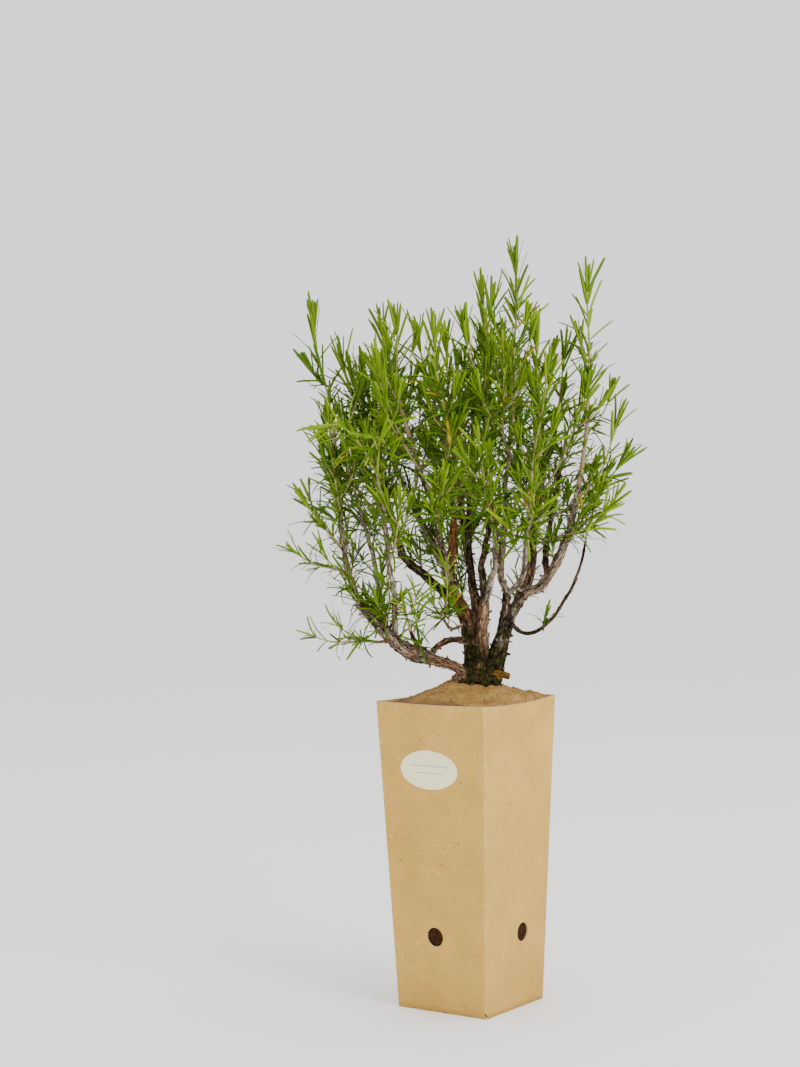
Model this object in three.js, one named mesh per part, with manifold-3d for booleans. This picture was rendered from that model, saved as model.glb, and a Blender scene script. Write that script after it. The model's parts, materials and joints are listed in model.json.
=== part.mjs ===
// A rosemary bush in a tall tapered pot of kraft board. The pot is filled with dark soil under a mound of sand,
// and the old wood stands in both. Millimetres, +Z up. The origin is the middle of the pot's underside, and the
// wall with the oval label looks along -Y.
import * as THREE from "three";
import { mergeVertices } from "three/addons/utils/BufferGeometryUtils.js";
import Module from "manifold-3d";

const wasm = await Module();
wasm.setup();

// ---------------------------------------------------------------- driving dimensions

const GAP = 0.3; // clear space between pieces that touch

const POT = {
  height: 310,
  topSide: 132,
  baseSide: 107,
  board: 1.6,
  floor: 3.2, // the flaps of the base lie two thick
  corner: 3, // outer radius of the folds
  bellyFrom: 190, // height from which the walls belly out
  bellyMid: 250, // height between there and the rim at which the walls are drawn too
  belly: 3, // how far they do so at the rim
  rimDip: [0.8, 2.2, 0.8, 2.2], // how far the middle of each rim edge dips: front, right, back, left
};
const HOLE = { radius: 9.5, height: 76, offset: [-4, 10, -4, 10] }; // one in each wall, off its middle
const BEYOND = 10; // how far a cutter goes past what it cuts
const LABEL = { width: 68, height: 39, thick: 0.6, across: -3, up: 244 };

const SOIL_TOP = 285;
const SAND = {
  edge: 302, // height far from the mound
  peak: 332, // height of the mound under the wood
  spread: 52, // radius at which most of the mound has run out
  fall: 1.6, // how roundly it falls off: 1 like a cone, 2 like a bell
  heap: 7, // extra height in the right corner
  foot: [3, 8], // top of the mound, across and away
  under: 3.5, // least depth under the rim at the walls
  bank: 0.6, // slope of the sand there
  reaches: [1, 0.84, 0.68, 0.54, 0.4, 0.28], // rings, as shares of the way out to the walls
};

// The bush has a frame of its own, with axes across, away and up. It is turned to face the corner of the pot.
const BUSH_TURN = THREE.MathUtils.degToRad(35.6);
const EYE = new THREE.Vector3(-64, -2279, 554); // where it is looked at from, in that frame

const STUMP = { at: [11.5, 0, 330], half: [25.5, 17, 13], root: 245, rootRadius: 14 };

// Old wood: radius at both ends, and the middle line as [across, away, up] seen from EYE.
const LIMBS = {
  central: { radius: [8.5, 7], path: [[8, 2, 330], [8, 2, 348], [6, 0, 368], [2, -2, 388], [-7, -4, 408]] },
  tan: { radius: [6.5, 5], path: [[14, -6, 330], [17, -9, 355], [18, -9, 380], [20, -8, 405]] },
  right: { radius: [9.5, 7], path: [[27, 2, 330], [32, 2, 350], [38, 4, 372], [45, 6, 393]] },
  low_root: { radius: [4.2, 7.2], path: [[4, -4, 333], [-14, -12, 343], [-38, -22, 350.5], [-56, -29, 357]] },
  low_left: {
    radius: [7.4, 4.4],
    path: [[-46, -25, 353.5], [-60, -30, 359], [-76, -34, 373], [-92, -36, 391], [-108, -36, 407]],
  },
  arch: { radius: [3.6, 3], path: [[3, -4, 366], [-8, -9, 369], [-18, -14, 368], [-28, -19, 362.5], [-36, -22, 354]] },
  crook: { radius: [3.2, 2], path: [[-34, -22, 354], [-44, -28, 360], [-51, -34, 368], [-56, -38, 380]] },
  left_rise: {
    radius: [5, 2.8],
    path: [[-5, -4, 404], [-24, 6, 419], [-42, 14, 436], [-60, 20, 453], [-70, 26, 480], [-77, 30, 512],
      [-88, 30, 550]],
  },
  rust: { radius: [5, 3], path: [[-6, -4, 404], [-13, -8, 424], [-13, -8, 445], [-10, -6, 470], [-11, -4, 508]] },
  lean_left: {
    radius: [4, 2.5],
    path: [[-8, -6, 412], [-17, -18, 440], [-23, -26, 468], [-32, -34, 508], [-44, -40, 543], [-53, -42, 575]],
  },
  dark_mid: { radius: [4.5, 2.8], path: [[15, -5, 398], [9, 6, 420], [6, 14, 445], [5, 20, 475], [6, 26, 515]] },
  mid_fork: { radius: [4, 2.5], path: [[20, -8, 402], [19, 0, 425], [17, 6, 442], [23, 10, 465], [26, 14, 505]] },
  pale_mid: {
    radius: [3.2, 2],
    path: [[20, -9, 402], [26, -18, 422], [30, -28, 442], [31, -34, 475], [28, -34, 520], [27, -30, 565]],
  },
  right_dark: { radius: [5.5, 4.2], path: [[39, 3, 382], [42, -2, 402], [43, -4, 418]] },
  right_front: {
    radius: [3.8, 2.3],
    path: [[43, -4, 415], [37, -8, 432], [38, -14, 455], [43, -22, 490], [43, -28, 520], [46, -32, 552],
      [50, -34, 585]],
  },
  right_inner: {
    radius: [3.5, 2.2],
    path: [[43, -4, 415], [54, -12, 424], [60, -20, 440], [63, -30, 465], [66, -38, 495]],
  },
  right_grey: {
    radius: [6, 3],
    path: [[43, 6, 388], [53, 8, 404], [62, 8, 416], [76, 6, 420], [86, 4, 434], [96, 2, 450], [106, 0, 474],
      [112, -2, 500], [117, -2, 522]],
  },
  right_up: { radius: [5, 2.8], path: [[58, 8, 410], [66, 16, 430], [69, 22, 455], [70, 28, 485], [74, 34, 530]] },
  right_fork: { radius: [2.8, 2], path: [[84, 5, 431], [82, 14, 452], [85, 20, 472], [91, 28, 500], [98, 34, 540]] },
  hook: {
    radius: [1.9, 1.2],
    path: [[44, 2, 388], [56, -12, 376], [64, -16, 374], [76, -20, 378], [88, -22, 390], [101, -22, 408],
      [111, -20, 424], [118, -16, 444], [123, -12, 466]],
  },
  left_twig: { radius: [1.6, 1.2], path: [[2, -4, 386], [-14, -18, 380], [-22, -28, 390]] },
  far_left: { radius: [1.6, 1.2], path: [[-72, -34, 369], [-88, -44, 368], [-102, -52, 370]] },
  stub: { radius: [4, 3.6], path: [[30, -6, 334], [44.5, -10, 331]] },
  left_stem_a: {
    radius: [2.8, 1.9],
    path: [[-71, -33, 368], [-71, -40, 400], [-72, -44, 425], [-77, -46, 455], [-79, -48, 485], [-83, -50, 515]],
  },
  left_stem_b: {
    radius: [2.5, 1.8],
    path: [[-86, -36, 384], [-87, -30, 410], [-89, -24, 440], [-97, -18, 475], [-104, -14, 500]],
  },
  left_stem_c: {
    radius: [3.6, 2.1],
    path: [[-104, -36, 403], [-113, -34, 425], [-119, -30, 448], [-122, -26, 480], [-124, -20, 515]],
  },
  back_left: {
    radius: [5, 2.6],
    path: [[4, 6, 345], [2, 16, 375], [-6, 36, 408], [-24, 58, 450], [-48, 76, 500], [-68, 86, 545]],
  },
  back_mid: {
    radius: [5, 2.6],
    path: [[10, 8, 345], [12, 34, 385], [8, 58, 425], [2, 76, 470], [-2, 86, 520], [2, 90, 560]],
  },
  back_right: {
    radius: [5, 2.6],
    path: [[32, 8, 350], [46, 32, 390], [60, 54, 430], [72, 68, 475], [80, 78, 525], [84, 80, 565]],
  },
};
const LIMB_STEP = 24; // length of wood between two of its rings
const KNOTS = { least: 0.93, vary: 0.14 }; // girth at a ring, as a share of the limb's radius

// Leafy stems that show from the front: limb, share of its length where the stem leaves it, and the stem's tip.
const FRONT_STEMS = [
  ["left_stem_c", 1.0, [-147, -10, 697]],
  ["left_rise", 1.0, [-121, 24, 660]],
  ["left_stem_c", 0.8, [-136, -50, 600]],
  ["lean_left", 0.8, [-88, -84, 655]],
  ["lean_left", 1.0, [-66, -44, 694]],
  ["left_rise", 0.9, [-100, 54, 645]],
  ["rust", 1.0, [-45, 16, 684]],
  ["lean_left", 0.6, [-27, -72, 684]],
  ["rust", 0.86, [-15, -10, 676]],
  ["pale_mid", 1.0, [4, -52, 690]],
  ["mid_fork", 1.0, [22, -18, 722]],
  ["dark_mid", 1.0, [32, 24, 716]],
  ["right_front", 0.84, [43, -70, 668]],
  ["right_front", 1.0, [57, -34, 753]],
  ["right_up", 1.0, [76, 16, 680]],
  ["right_grey", 1.0, [129, 4, 733]],
  ["right_inner", 1.0, [86, -92, 640]],
  ["right_fork", 1.0, [124, 44, 628]],
  ["right_grey", 0.92, [160, -8, 594]],
  ["right_grey", 0.84, [165, 24, 552]],
  ["right_grey", 0.72, [146, -44, 502]],
  ["hook", 1.0, [134, -22, 520]],
  ["left_stem_c", 0.55, [-160, -22, 512]],
  ["left_stem_c", 0.25, [-146, -52, 462]],
  ["left_stem_b", 1.0, [-118, -70, 574]],
  ["left_stem_a", 1.0, [-84, -104, 580]],
  ["left_stem_a", 0.55, [-62, -98, 512]],
  ["lean_left", 0.45, [-18, -124, 536]],
  ["pale_mid", 0.5, [16, -128, 574]],
  ["right_inner", 0.7, [74, -116, 528]],
  ["far_left", 1.0, [-132, -64, 390]],
  ["crook", 1.0, [-64, -62, 408]],
  ["left_twig", 1.0, [-33, -44, 412]],
];

// The far side is filled by rule: the tips stand on a dome round this middle.
const BACK = {
  limbs: ["back_left", "back_mid", "back_right", "left_rise", "right_up"],
  count: 22,
  middle: [2, 0, 560],
  half: [150, 142, 160],
  lowest: -0.45, // height of the lowest tip, as a share of the dome's half height
  highest: 0.9,
  firstTurn: -0.06, // the tips stand from here round, in half turns
  turns: 1.12,
  golden: 0.618034, // share of that from one tip to the next
  liftVary: 0.12,
  reach: 0.9, // distance of a tip from the middle, as a share of the dome's
  reachVary: 0.12,
  along: 0.62, // where a stem of middle height leaves its limb
  alongRise: 0.4, // how much higher it leaves when its tip is higher
  alongVary: 0.1,
  alongLimits: [0.4, 0.97],
};

const STEM = {
  sides: 4,
  ring: 30,
  tipRadius: 1.7,
  baseRadius: 2.1,
  rods: 10, // straight pieces that stand for it when its space is tested
  grain: 0.8, // how much it follows its limb where it leaves
  rise: 0.5, // how much it turns up at its tip
  leaveReach: 0.33, // lengths of the two ends of its curve
  arriveReach: 0.3,
  bendTries: 40, // lays that are tried, each moved aside a little more
  bendStep: 5,
  bendTurn: 2.4,
  slip: 0.008, // how much lower each leaves its limb
};
const NEEDLE = {
  width: 2.3, // at its root
  thickness: 1.2,
  lowLength: 24,
  highLength: 33,
  lowLean: 66, // degrees off the stem near its foot
  highLean: 24, // and near its tip
  bare: 0.22, // share of the stem that carries none
  last: 0.95, // place of the last pair
  pairEvery: 16,
  leanVary: 10,
  lengthVary: 0.2,
  shifts: [0, 0.35, -0.35, 0.7, -0.7], // turns round the stem that are tried, and changes of its lean
  folds: [0, -14, 14],
  leastLean: 14,
};
const CLEAR = 0.6; // least space between the pieces of two stems

const COLOUR = {
  board: 0xcdb487,
  label: 0xe4dec8,
  soil: 0x2e1a10,
  sand: 0xb0895c,
  wood: 0x6f5a48,
  leaves: [0x6f9a2c, 0x5f8c2a, 0x83ab37, 0x4f7d27],
};

// ---------------------------------------------------------------- small tools

const UP = new THREE.Vector3(0, 0, 1);

/** A share from 0 to 1 that is always the same for the same seed. */
function draw(seed) {
  const x = Math.sin(seed * 12.9898) * 43758.5453;
  return x - Math.floor(x);
}

/** A point of the bush's own frame in the pot's frame. */
function turned(x, y, z) {
  return new THREE.Vector3(x, y, z).applyAxisAngle(UP, BUSH_TURN);
}

/** The place that EYE sees at `across` and `up` of the plane through the pot's axis, moved along its line of sight. */
function seenAt([across, away, up]) {
  const seen = new THREE.Vector3(across, 0, up).sub(EYE).multiplyScalar((away - EYE.y) / -EYE.y).add(EYE);
  return turned(seen.x, seen.y, seen.z);
}

/** A closed solid of a geometry, with each vertex moved by `place`. */
function solid(geometry, place) {
  const source = geometry.attributes.position;
  const moved = new Float32Array(source.count * 3);
  for (let i = 0; i < source.count; i++) {
    place(new THREE.Vector3().fromBufferAttribute(source, i)).toArray(moved, i * 3);
  }
  const bare = new THREE.BufferGeometry();
  bare.setAttribute("position", new THREE.BufferAttribute(moved, 3));
  bare.setIndex(geometry.index);
  const merged = mergeVertices(bare, 1e-3);
  const vertProperties = merged.attributes.position.array;
  const triVerts = new Uint32Array(merged.index.array);
  return new wasm.Manifold(new wasm.Mesh({ numProp: 3, vertProperties, triVerts }));
}

/** The solid without any loose scraps. */
function wholeOf(made) {
  return made.decompose().reduce((best, piece) => (piece.volume() > best.volume() ? piece : best));
}

/** A named mesh of a finished solid. */
function meshOf(name, made, colour, roughness) {
  const { vertProperties, triVerts } = made.getMesh();
  const geometry = new THREE.BufferGeometry();
  geometry.setAttribute("position", new THREE.BufferAttribute(vertProperties, 3));
  geometry.setIndex(new THREE.BufferAttribute(triVerts, 1));
  geometry.computeVertexNormals();
  const mesh = new THREE.Mesh(geometry, new THREE.MeshStandardMaterial({ color: colour, roughness, metalness: 0 }));
  mesh.name = name;
  return mesh;
}

/** Two directions square to `along` and to each other. */
function squareTo(along) {
  const helper = Math.abs(along.z) > 0.9 ? new THREE.Vector3(1, 0, 0) : UP;
  const side = new THREE.Vector3().crossVectors(helper, along).normalize();
  return [side, new THREE.Vector3().crossVectors(along, side)];
}

/** A curve as straight pieces between rings, with two directions square to it at each ring. */
class Spine {
  constructor(curve, rings) {
    const { tangents, normals, binormals } = curve.computeFrenetFrames(rings);
    Object.assign(this, { rings, tangents, normals, binormals, points: curve.getSpacedPoints(rings) });
  }

  /** The value of a list of vectors at a share of the length. */
  at(list, share) {
    const ring = Math.min(this.rings - 1, Math.floor(share * this.rings));
    return list[ring].clone().lerp(list[ring + 1], share * this.rings - ring);
  }

  /** The direction out of the curve at a share of its length, `turn` round it. */
  out(share, turn) {
    return this.at(this.normals, share).multiplyScalar(Math.cos(turn))
      .addScaledVector(this.at(this.binormals, share), Math.sin(turn)).normalize();
  }

  /** A closed tube. `radiusAt` takes the ring and the share of the length, and `longer` goes on both ends. */
  tube(radiusAt, sides, longer = 0) {
    return solid(new THREE.CylinderGeometry(1, 1, 1, sides, this.rings), (v) => {
      const ring = Math.round((v.y + 0.5) * this.rings);
      const radius = radiusAt(ring, ring / this.rings);
      const beyond = ring === 0 ? -longer : longer * (ring === this.rings);
      return this.points[ring].clone()
        .addScaledVector(this.tangents[ring], beyond)
        .addScaledVector(this.normals[ring], v.x * radius)
        .addScaledVector(this.binormals[ring], -v.z * radius);
    });
  }
}

// ---------------------------------------------------------------- pot, label, soil and sand

const WALL_STEPS = 6; // points of the outline for each wall, its fold counted
const OUTLINE = 4 * WALL_STEPS;
const LEVELS = [0, POT.bellyFrom, POT.bellyMid, SOIL_TOP, POT.height]; // heights at which the outline is drawn

/** Half the pot's outer side at a height. */
function halfSide(z) {
  return THREE.MathUtils.lerp(POT.baseSide, POT.topSide, z / POT.height) / 2;
}

/** How far a wall bellies out at a height, `along` from -1 at one fold to 1 at the next. */
function bellyAt(z, along) {
  const rise = Math.max(0, (z - POT.bellyFrom) / (POT.height - POT.bellyFrom));
  return POT.belly * rise ** 2 * (1 - along * along);
}

/** Where a step of the outline lies on its wall. */
function alongWall(step) {
  return (((step % WALL_STEPS) - 1) / (WALL_STEPS - 2)) * 2 - 1;
}

/** A point of the pot's outline at a height, `inset` inside its outer face. */
function outlinePoint(step, z, inset) {
  const fold = Math.max(POT.corner - inset, 0.4);
  const half = halfSide(z) - inset;
  const flat = half - fold;
  const point = new THREE.Vector2();
  if (step % WALL_STEPS === 0) {
    point.setScalar(-flat - fold * Math.SQRT1_2);
  } else {
    const along = alongWall(step);
    point.set(along * flat, -half - bellyAt(z, along));
  }
  return point.rotateAround(new THREE.Vector2(), (Math.floor(step / WALL_STEPS) * Math.PI) / 2);
}

/** How far the rim dips at a step of the outline. */
function dipAt(step) {
  if (step % WALL_STEPS === 0) return 0;
  return POT.rimDip[Math.floor(step / WALL_STEPS)] * (1 - alongWall(step) ** 2);
}

/** The step of the outline that a vertex of a round geometry stands for. */
function stepOf(v) {
  return Math.round((Math.atan2(-v.z, v.x) / (2 * Math.PI) + 1) * OUTLINE) % OUTLINE;
}

/** A closed block that fills the pot's outline at each of the given heights. */
function block(heights, inset, dips = 0) {
  const last = heights.length - 1;
  return solid(new THREE.CylinderGeometry(1, 1, 1, OUTLINE, last), (v) => {
    const level = Math.round((v.y + 0.5) * last);
    const z = heights[level];
    if (Math.hypot(v.x, v.z) < 0.5) return new THREE.Vector3(0, 0, z);
    const step = stepOf(v);
    const point = outlinePoint(step, z, inset);
    return new THREE.Vector3(point.x, point.y, level === last ? z - dips * dipAt(step) : z);
  });
}

/** A drill through one wall, for its round hole. */
function holeDrill(wall) {
  const middle = new THREE.Vector3(HOLE.offset[wall], -halfSide(HOLE.height), HOLE.height);
  return solid(new THREE.CylinderGeometry(HOLE.radius, HOLE.radius, 2 * BEYOND, 16), (v) =>
    v.add(middle).applyAxisAngle(UP, (wall * Math.PI) / 2));
}

function makePot() {
  const cavity = block([POT.floor, ...LEVELS.slice(1, -1), POT.height + BEYOND], POT.board);
  let pot = block(LEVELS, 0, 1).subtract(cavity);
  for (let wall = 0; wall < 4; wall++) pot = pot.subtract(holeDrill(wall));
  return pot;
}

/** An oval plate that follows the front wall. */
function makeLabel() {
  return solid(new THREE.CylinderGeometry(1, 1, 1, 36, 1), (v) => {
    const x = LABEL.across + (v.x * LABEL.width) / 2;
    const z = LABEL.up - (v.z * LABEL.height) / 2;
    const face = -halfSide(z) - bellyAt(z, x / halfSide(z));
    return new THREE.Vector3(x, face - GAP - (v.y + 0.5) * LABEL.thick, z);
  });
}

/** The burl that the limbs rise from and the root below it, all `grow` larger than they are. */
function makeStump(grow) {
  const burl = solid(new THREE.SphereGeometry(1, 14, 9), (v) =>
    turned(
      STUMP.at[0] + v.x * (STUMP.half[0] + grow),
      STUMP.at[1] + v.z * (STUMP.half[1] + grow),
      STUMP.at[2] - v.y * (STUMP.half[2] + grow),
    ));
  const root = solid(new THREE.CylinderGeometry(1, 0.6, 1, 12, 1), (v) =>
    turned(
      STUMP.at[0] + v.x * (STUMP.rootRadius + grow),
      STUMP.at[1] - v.z * (STUMP.rootRadius + grow),
      THREE.MathUtils.lerp(STUMP.root - grow, STUMP.at[2], v.y + 0.5),
    ));
  return burl.add(root);
}

/** Height of the sand at a place, `reach` of the way from the top of the mound out to the walls. */
function sandHeight(place, reach) {
  const foot = turned(SAND.foot[0], SAND.foot[1], 0);
  const heap = SAND.heap * Math.max(0, (place.x + place.y) / POT.topSide) ** 2;
  const far = Math.hypot(place.x - foot.x, place.y - foot.y) / SAND.spread;
  const mound = (SAND.peak - SAND.edge) * Math.exp(-(far ** SAND.fall));
  const ripple = Math.sin(place.x * 0.31 + 1) * Math.cos(place.y * 0.27) * (1 - reach);
  const room = halfSide(SAND.edge) - POT.board - Math.max(Math.abs(place.x), Math.abs(place.y));
  return Math.min(SAND.edge + heap + mound + ripple, POT.height - SAND.under + SAND.bank * room);
}

function makeSand() {
  const inset = POT.board + 2 * GAP;
  const top = turned(SAND.foot[0], SAND.foot[1], 0);
  const profile = [new THREE.Vector2(0, 0), new THREE.Vector2(1, 0)];
  for (const reach of SAND.reaches) profile.push(new THREE.Vector2(reach, 1));
  profile.push(new THREE.Vector2(0, 1));
  const mound = solid(new THREE.LatheGeometry(profile, OUTLINE), (v) => {
    const reach = Math.hypot(v.x, v.z);
    const low = v.y < 0.5;
    const height = low ? SOIL_TOP + GAP : SAND.edge;
    const place = outlinePoint(stepOf(v), height, inset);
    place.lerp(low ? new THREE.Vector2() : new THREE.Vector2(top.x, top.y), 1 - reach);
    return new THREE.Vector3(place.x, place.y, low ? height : sandHeight(place, reach));
  });
  return mound.subtract(makeStump(GAP));
}

function makeSoil() {
  return block([POT.floor + GAP, ...LEVELS.slice(1, -1)], POT.board + GAP).subtract(makeStump(GAP));
}

// ---------------------------------------------------------------- old wood

const limbCurves = {};
for (const [name, limb] of Object.entries(LIMBS)) {
  limbCurves[name] = new THREE.CatmullRomCurve3(limb.path.map(seenAt), false, "centripetal");
}

/** A limb's radius at a share of its length. */
function limbRadius(name, share) {
  return THREE.MathUtils.lerp(...LIMBS[name].radius, share);
}

/** All the old wood as one solid, `grow` larger than it is. */
function makeWood(grow) {
  let wood = makeStump(grow);
  Object.keys(LIMBS).forEach((name, index) => {
    const curve = limbCurves[name];
    const spine = new Spine(curve, Math.max(2, Math.round(curve.getLength() / LIMB_STEP)));
    const knot = (ring) => KNOTS.least + KNOTS.vary * draw(index * 40 + ring);
    const knots = (ring, share) => limbRadius(name, share) * knot(ring) + grow;
    wood = wood.add(spine.tube(knots, limbRadius(name, 0) > 4 ? 7 : 5, grow));
  });
  return wood;
}

// ---------------------------------------------------------------- leafy stems

/** A thick line, and the piece that it belongs to. */
class Rod {
  constructor(start, end, radius, owner) {
    this.line = new THREE.Line3(start, end);
    this.radius = radius;
    this.owner = owner;
  }

  /** Whether the other rod is nearer than the clear space that two pieces keep. */
  crowds(other) {
    const least = this.radius + other.radius + CLEAR;
    return this.line.distanceSqToLine3(other.line) < least * least;
  }
}

/** The rods that stand for a curve. */
function rodsOf(curve, radius, owner, pieces) {
  const points = curve.getSpacedPoints(pieces);
  return points.slice(1).map((point, i) => new Rod(points[i], point, radius, owner));
}

/** The stems that fill the far side, in the form of the list for the near side. */
function backStems() {
  const stems = [];
  for (let i = 0; i < BACK.count; i++) {
    const share = (i + 0.5) / BACK.count;
    const turn = Math.PI * (BACK.firstTurn + BACK.turns * ((i * BACK.golden) % 1));
    const lift = THREE.MathUtils.lerp(BACK.lowest, BACK.highest, share) + BACK.liftVary * (draw(i + 7) - 0.5);
    const reach = Math.sqrt(1 - lift * lift) * (BACK.reach + BACK.reachVary * draw(i + 90));
    const tip = turned(
      BACK.middle[0] + BACK.half[0] * reach * Math.cos(turn),
      BACK.middle[1] + BACK.half[1] * reach * Math.sin(turn),
      BACK.middle[2] + BACK.half[2] * lift,
    );
    stems.push({ ...nearestLimb(tip, lift, i), tip });
  }
  return stems;
}

/** The limb of the far side that a tip grows from, and where along it. */
function nearestLimb(tip, lift, index) {
  const wanted = BACK.along + BACK.alongRise * lift + BACK.alongVary * (draw(index + 31) - 0.5);
  const along = THREE.MathUtils.clamp(wanted, ...BACK.alongLimits);
  const away = (limb) => limbCurves[limb].getPointAt(along).distanceTo(tip);
  const limb = BACK.limbs.reduce((best, other) => (away(other) < away(best) ? other : best));
  return { limb, along };
}

/** Whether a stem goes on from the end of its limb. */
function atEnd({ along }) {
  return along > 0.99;
}

/** The middle line of a stem: out of its limb, then up to its tip. `bend` moves its middle. */
function stemCurve(stem, bend) {
  const { limb, along, tip } = stem;
  const curve = limbCurves[limb];
  const from = curve.getPointAt(along);
  const grain = curve.getTangentAt(along);
  const reach = tip.clone().sub(from);
  const out = reach.clone().addScaledVector(grain, -reach.dot(grain)).normalize();
  const leave = atEnd(stem) ? grain : out.addScaledVector(grain, STEM.grain).normalize();
  const arrive = reach.clone().normalize().addScaledVector(UP, STEM.rise).normalize();
  const length = reach.length();
  const start = atEnd(stem) ? from.clone().addScaledVector(grain, -2) : from;
  return new THREE.CubicBezierCurve3(
    start,
    from.clone().addScaledVector(leave, length * STEM.leaveReach).add(bend),
    tip.clone().addScaledVector(arrive, -length * STEM.arriveReach).add(bend),
    tip,
  );
}

/** The first lay of a stem that is clear of the wood and of the stems before it, and the rods that stand for it. */
function clearStem(stem, owner, others) {
  const reach = stem.tip.clone().sub(limbCurves[stem.limb].getPointAt(stem.along)).normalize();
  const [side, over] = squareTo(reach);
  for (let i = 0; i < STEM.bendTries; i++) {
    const turn = i * STEM.bendTurn;
    const far = STEM.bendStep * Math.sqrt(i);
    const bend = side.clone().multiplyScalar(far * Math.cos(turn)).addScaledVector(over, far * Math.sin(turn));
    const along = atEnd(stem) ? stem.along : stem.along - STEM.slip * i;
    const curve = stemCurve({ ...stem, along }, bend);
    const rods = rodsOf(curve, STEM.baseRadius, owner, STEM.rods);
    const near = (rod, other) => (rod === rods[0] || rod === rods[1]) && other.owner === "wood";
    const free = rods.every((rod) => !others.some((other) => !near(rod, other) && rod.crowds(other)));
    if (free) return { curve, rods };
  }
  throw new Error(`no room for the stem on ${stem.limb}`);
}

/** A needle: its root, sunk in the core, its tip, and the direction that its back faces. */
function needleOf(spine, share, turn, lean, length) {
  const along = spine.at(spine.tangents, share).normalize();
  const out = spine.out(share, turn);
  const lay = THREE.MathUtils.degToRad(lean);
  const heading = along.clone().multiplyScalar(Math.cos(lay)).addScaledVector(out, Math.sin(lay));
  const back = along.clone().multiplyScalar(Math.sin(lay)).addScaledVector(out, -Math.cos(lay));
  const root = spine.at(spine.points, share);
  return { root, tip: root.clone().addScaledVector(heading, length), back };
}

/** A needle with three faces: a flat underside, and two that meet in the ridge along its back. */
function needleSolid({ root, tip, back }) {
  const across = tip.clone().sub(root).cross(back).normalize();
  const half = NEEDLE.width / Math.sqrt(3);
  const ridge = NEEDLE.thickness / 1.5;
  return solid(new THREE.ConeGeometry(1, 1, 3, 1), (v) =>
    root.clone().lerp(tip, v.y + 0.5).addScaledVector(across, v.x * half).addScaledVector(back, v.z * ridge));
}

/** Where the needles of a stem want to be: in pairs, each a quarter turn from the last, with the last at the tip. */
function needlePlaces(curve, seed) {
  const places = [];
  const pairs = Math.max(3, Math.round((curve.getLength() * (1 - NEEDLE.bare)) / NEEDLE.pairEvery));
  for (let pair = pairs; pair >= 0; pair--) {
    for (const side of [0, 1]) {
      const turn = Math.PI * (0.25 + 0.5 * pair + side);
      places.push({ height: pair / pairs, turn, draws: seed * 60 + pair * 2 + side });
    }
  }
  return places;
}

/** The first lay of a needle that is clear of all the other pieces, if there is one. */
function clearNeedle(spine, { height, turn, draws }, owner, others) {
  const share = NEEDLE.bare + (NEEDLE.last - NEEDLE.bare) * height;
  const lean = THREE.MathUtils.lerp(NEEDLE.lowLean, NEEDLE.highLean, height)
    + NEEDLE.leanVary * (draw(draws) - 0.5);
  const length = THREE.MathUtils.lerp(NEEDLE.lowLength, NEEDLE.highLength, height)
    * (1 + NEEDLE.lengthVary * (draw(draws + 0.5) - 0.5));
  for (const shift of NEEDLE.shifts) {
    for (const fold of NEEDLE.folds) {
      const needle = needleOf(spine, share, turn + shift, Math.max(NEEDLE.leastLean, lean + fold), length);
      const rod = new Rod(needle.root, needle.tip, NEEDLE.width / 2, owner);
      if (!others.some((other) => other.owner !== owner && rod.crowds(other))) return { needle, rod };
    }
  }
  return null;
}

/** Every leafy stem: the curve it follows and its needles, all clear of each other and of the wood. */
function growStems() {
  const front = FRONT_STEMS.map(([limb, along, tip]) => ({ limb, along, tip: seenAt(tip) }));
  const stems = [...front, ...backStems()];
  const rods = Object.keys(LIMBS).flatMap((name) =>
    rodsOf(limbCurves[name], limbRadius(name, 0.3), "wood", Math.ceil(limbCurves[name].getLength() / LIMB_STEP)));
  for (const [index, stem] of stems.entries()) {
    const clear = clearStem(stem, index, rods);
    stem.curve = clear.curve;
    stem.spine = new Spine(stem.curve, Math.max(3, Math.round(stem.curve.getLength() / STEM.ring)));
    stem.needles = [];
    rods.push(...clear.rods);
  }
  for (const [index, stem] of stems.entries()) {
    for (const place of needlePlaces(stem.curve, index)) {
      const clear = clearNeedle(stem.spine, place, index, rods);
      if (!clear) continue;
      stem.needles.push(clear.needle);
      rods.push(clear.rod);
    }
  }
  return stems;
}

/** One leafy stem: a slim core with the roots of its needles sunk in it, cut off just clear of the wood. */
function makeStem(stem, grownWood) {
  const base = atEnd(stem) ? limbRadius(stem.limb, 1) : STEM.baseRadius;
  const radius = (ring, share) => THREE.MathUtils.lerp(base, STEM.tipRadius, share);
  let made = stem.spine.tube(radius, STEM.sides);
  for (const needle of stem.needles) made = made.add(needleSolid(needle));
  return wholeOf(made.subtract(grownWood));
}

// ---------------------------------------------------------------- the whole plant

const group = new THREE.Group();
group.add(meshOf("pot", makePot(), COLOUR.board, 0.85));
group.add(meshOf("label", makeLabel(), COLOUR.label, 0.6));
group.add(meshOf("potting_soil", makeSoil(), COLOUR.soil, 0.9));
group.add(meshOf("sand", makeSand(), COLOUR.sand, 0.95));
group.add(meshOf("wood", makeWood(0), COLOUR.wood, 0.9));

const grownWood = makeWood(GAP);
for (const [index, stem] of growStems().entries()) {
  const name = `leafy_stem_${String(index + 1).padStart(2, "0")}`;
  group.add(meshOf(name, makeStem(stem, grownWood), COLOUR.leaves[index % COLOUR.leaves.length], 0.6));
}

export default group;
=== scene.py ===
"""A potted rosemary bush: old wood and leafy stems in a tall pot of kraft board filled with soil and sand.

Growth is worked out in millimetres with the rule that the solid model also follows, and every mesh is made in
metres. The bush has a frame of its own (across, away, up) that is turned to face the corner of the pot.
"""

import bisect
import json
import logging
import math
import random
from collections.abc import Callable, Iterable, Sequence
from dataclasses import dataclass, field
from enum import Enum

import bmesh
import bpy
import numpy as np
from mathutils import Matrix, Quaternion, Vector, kdtree, noise


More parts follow.
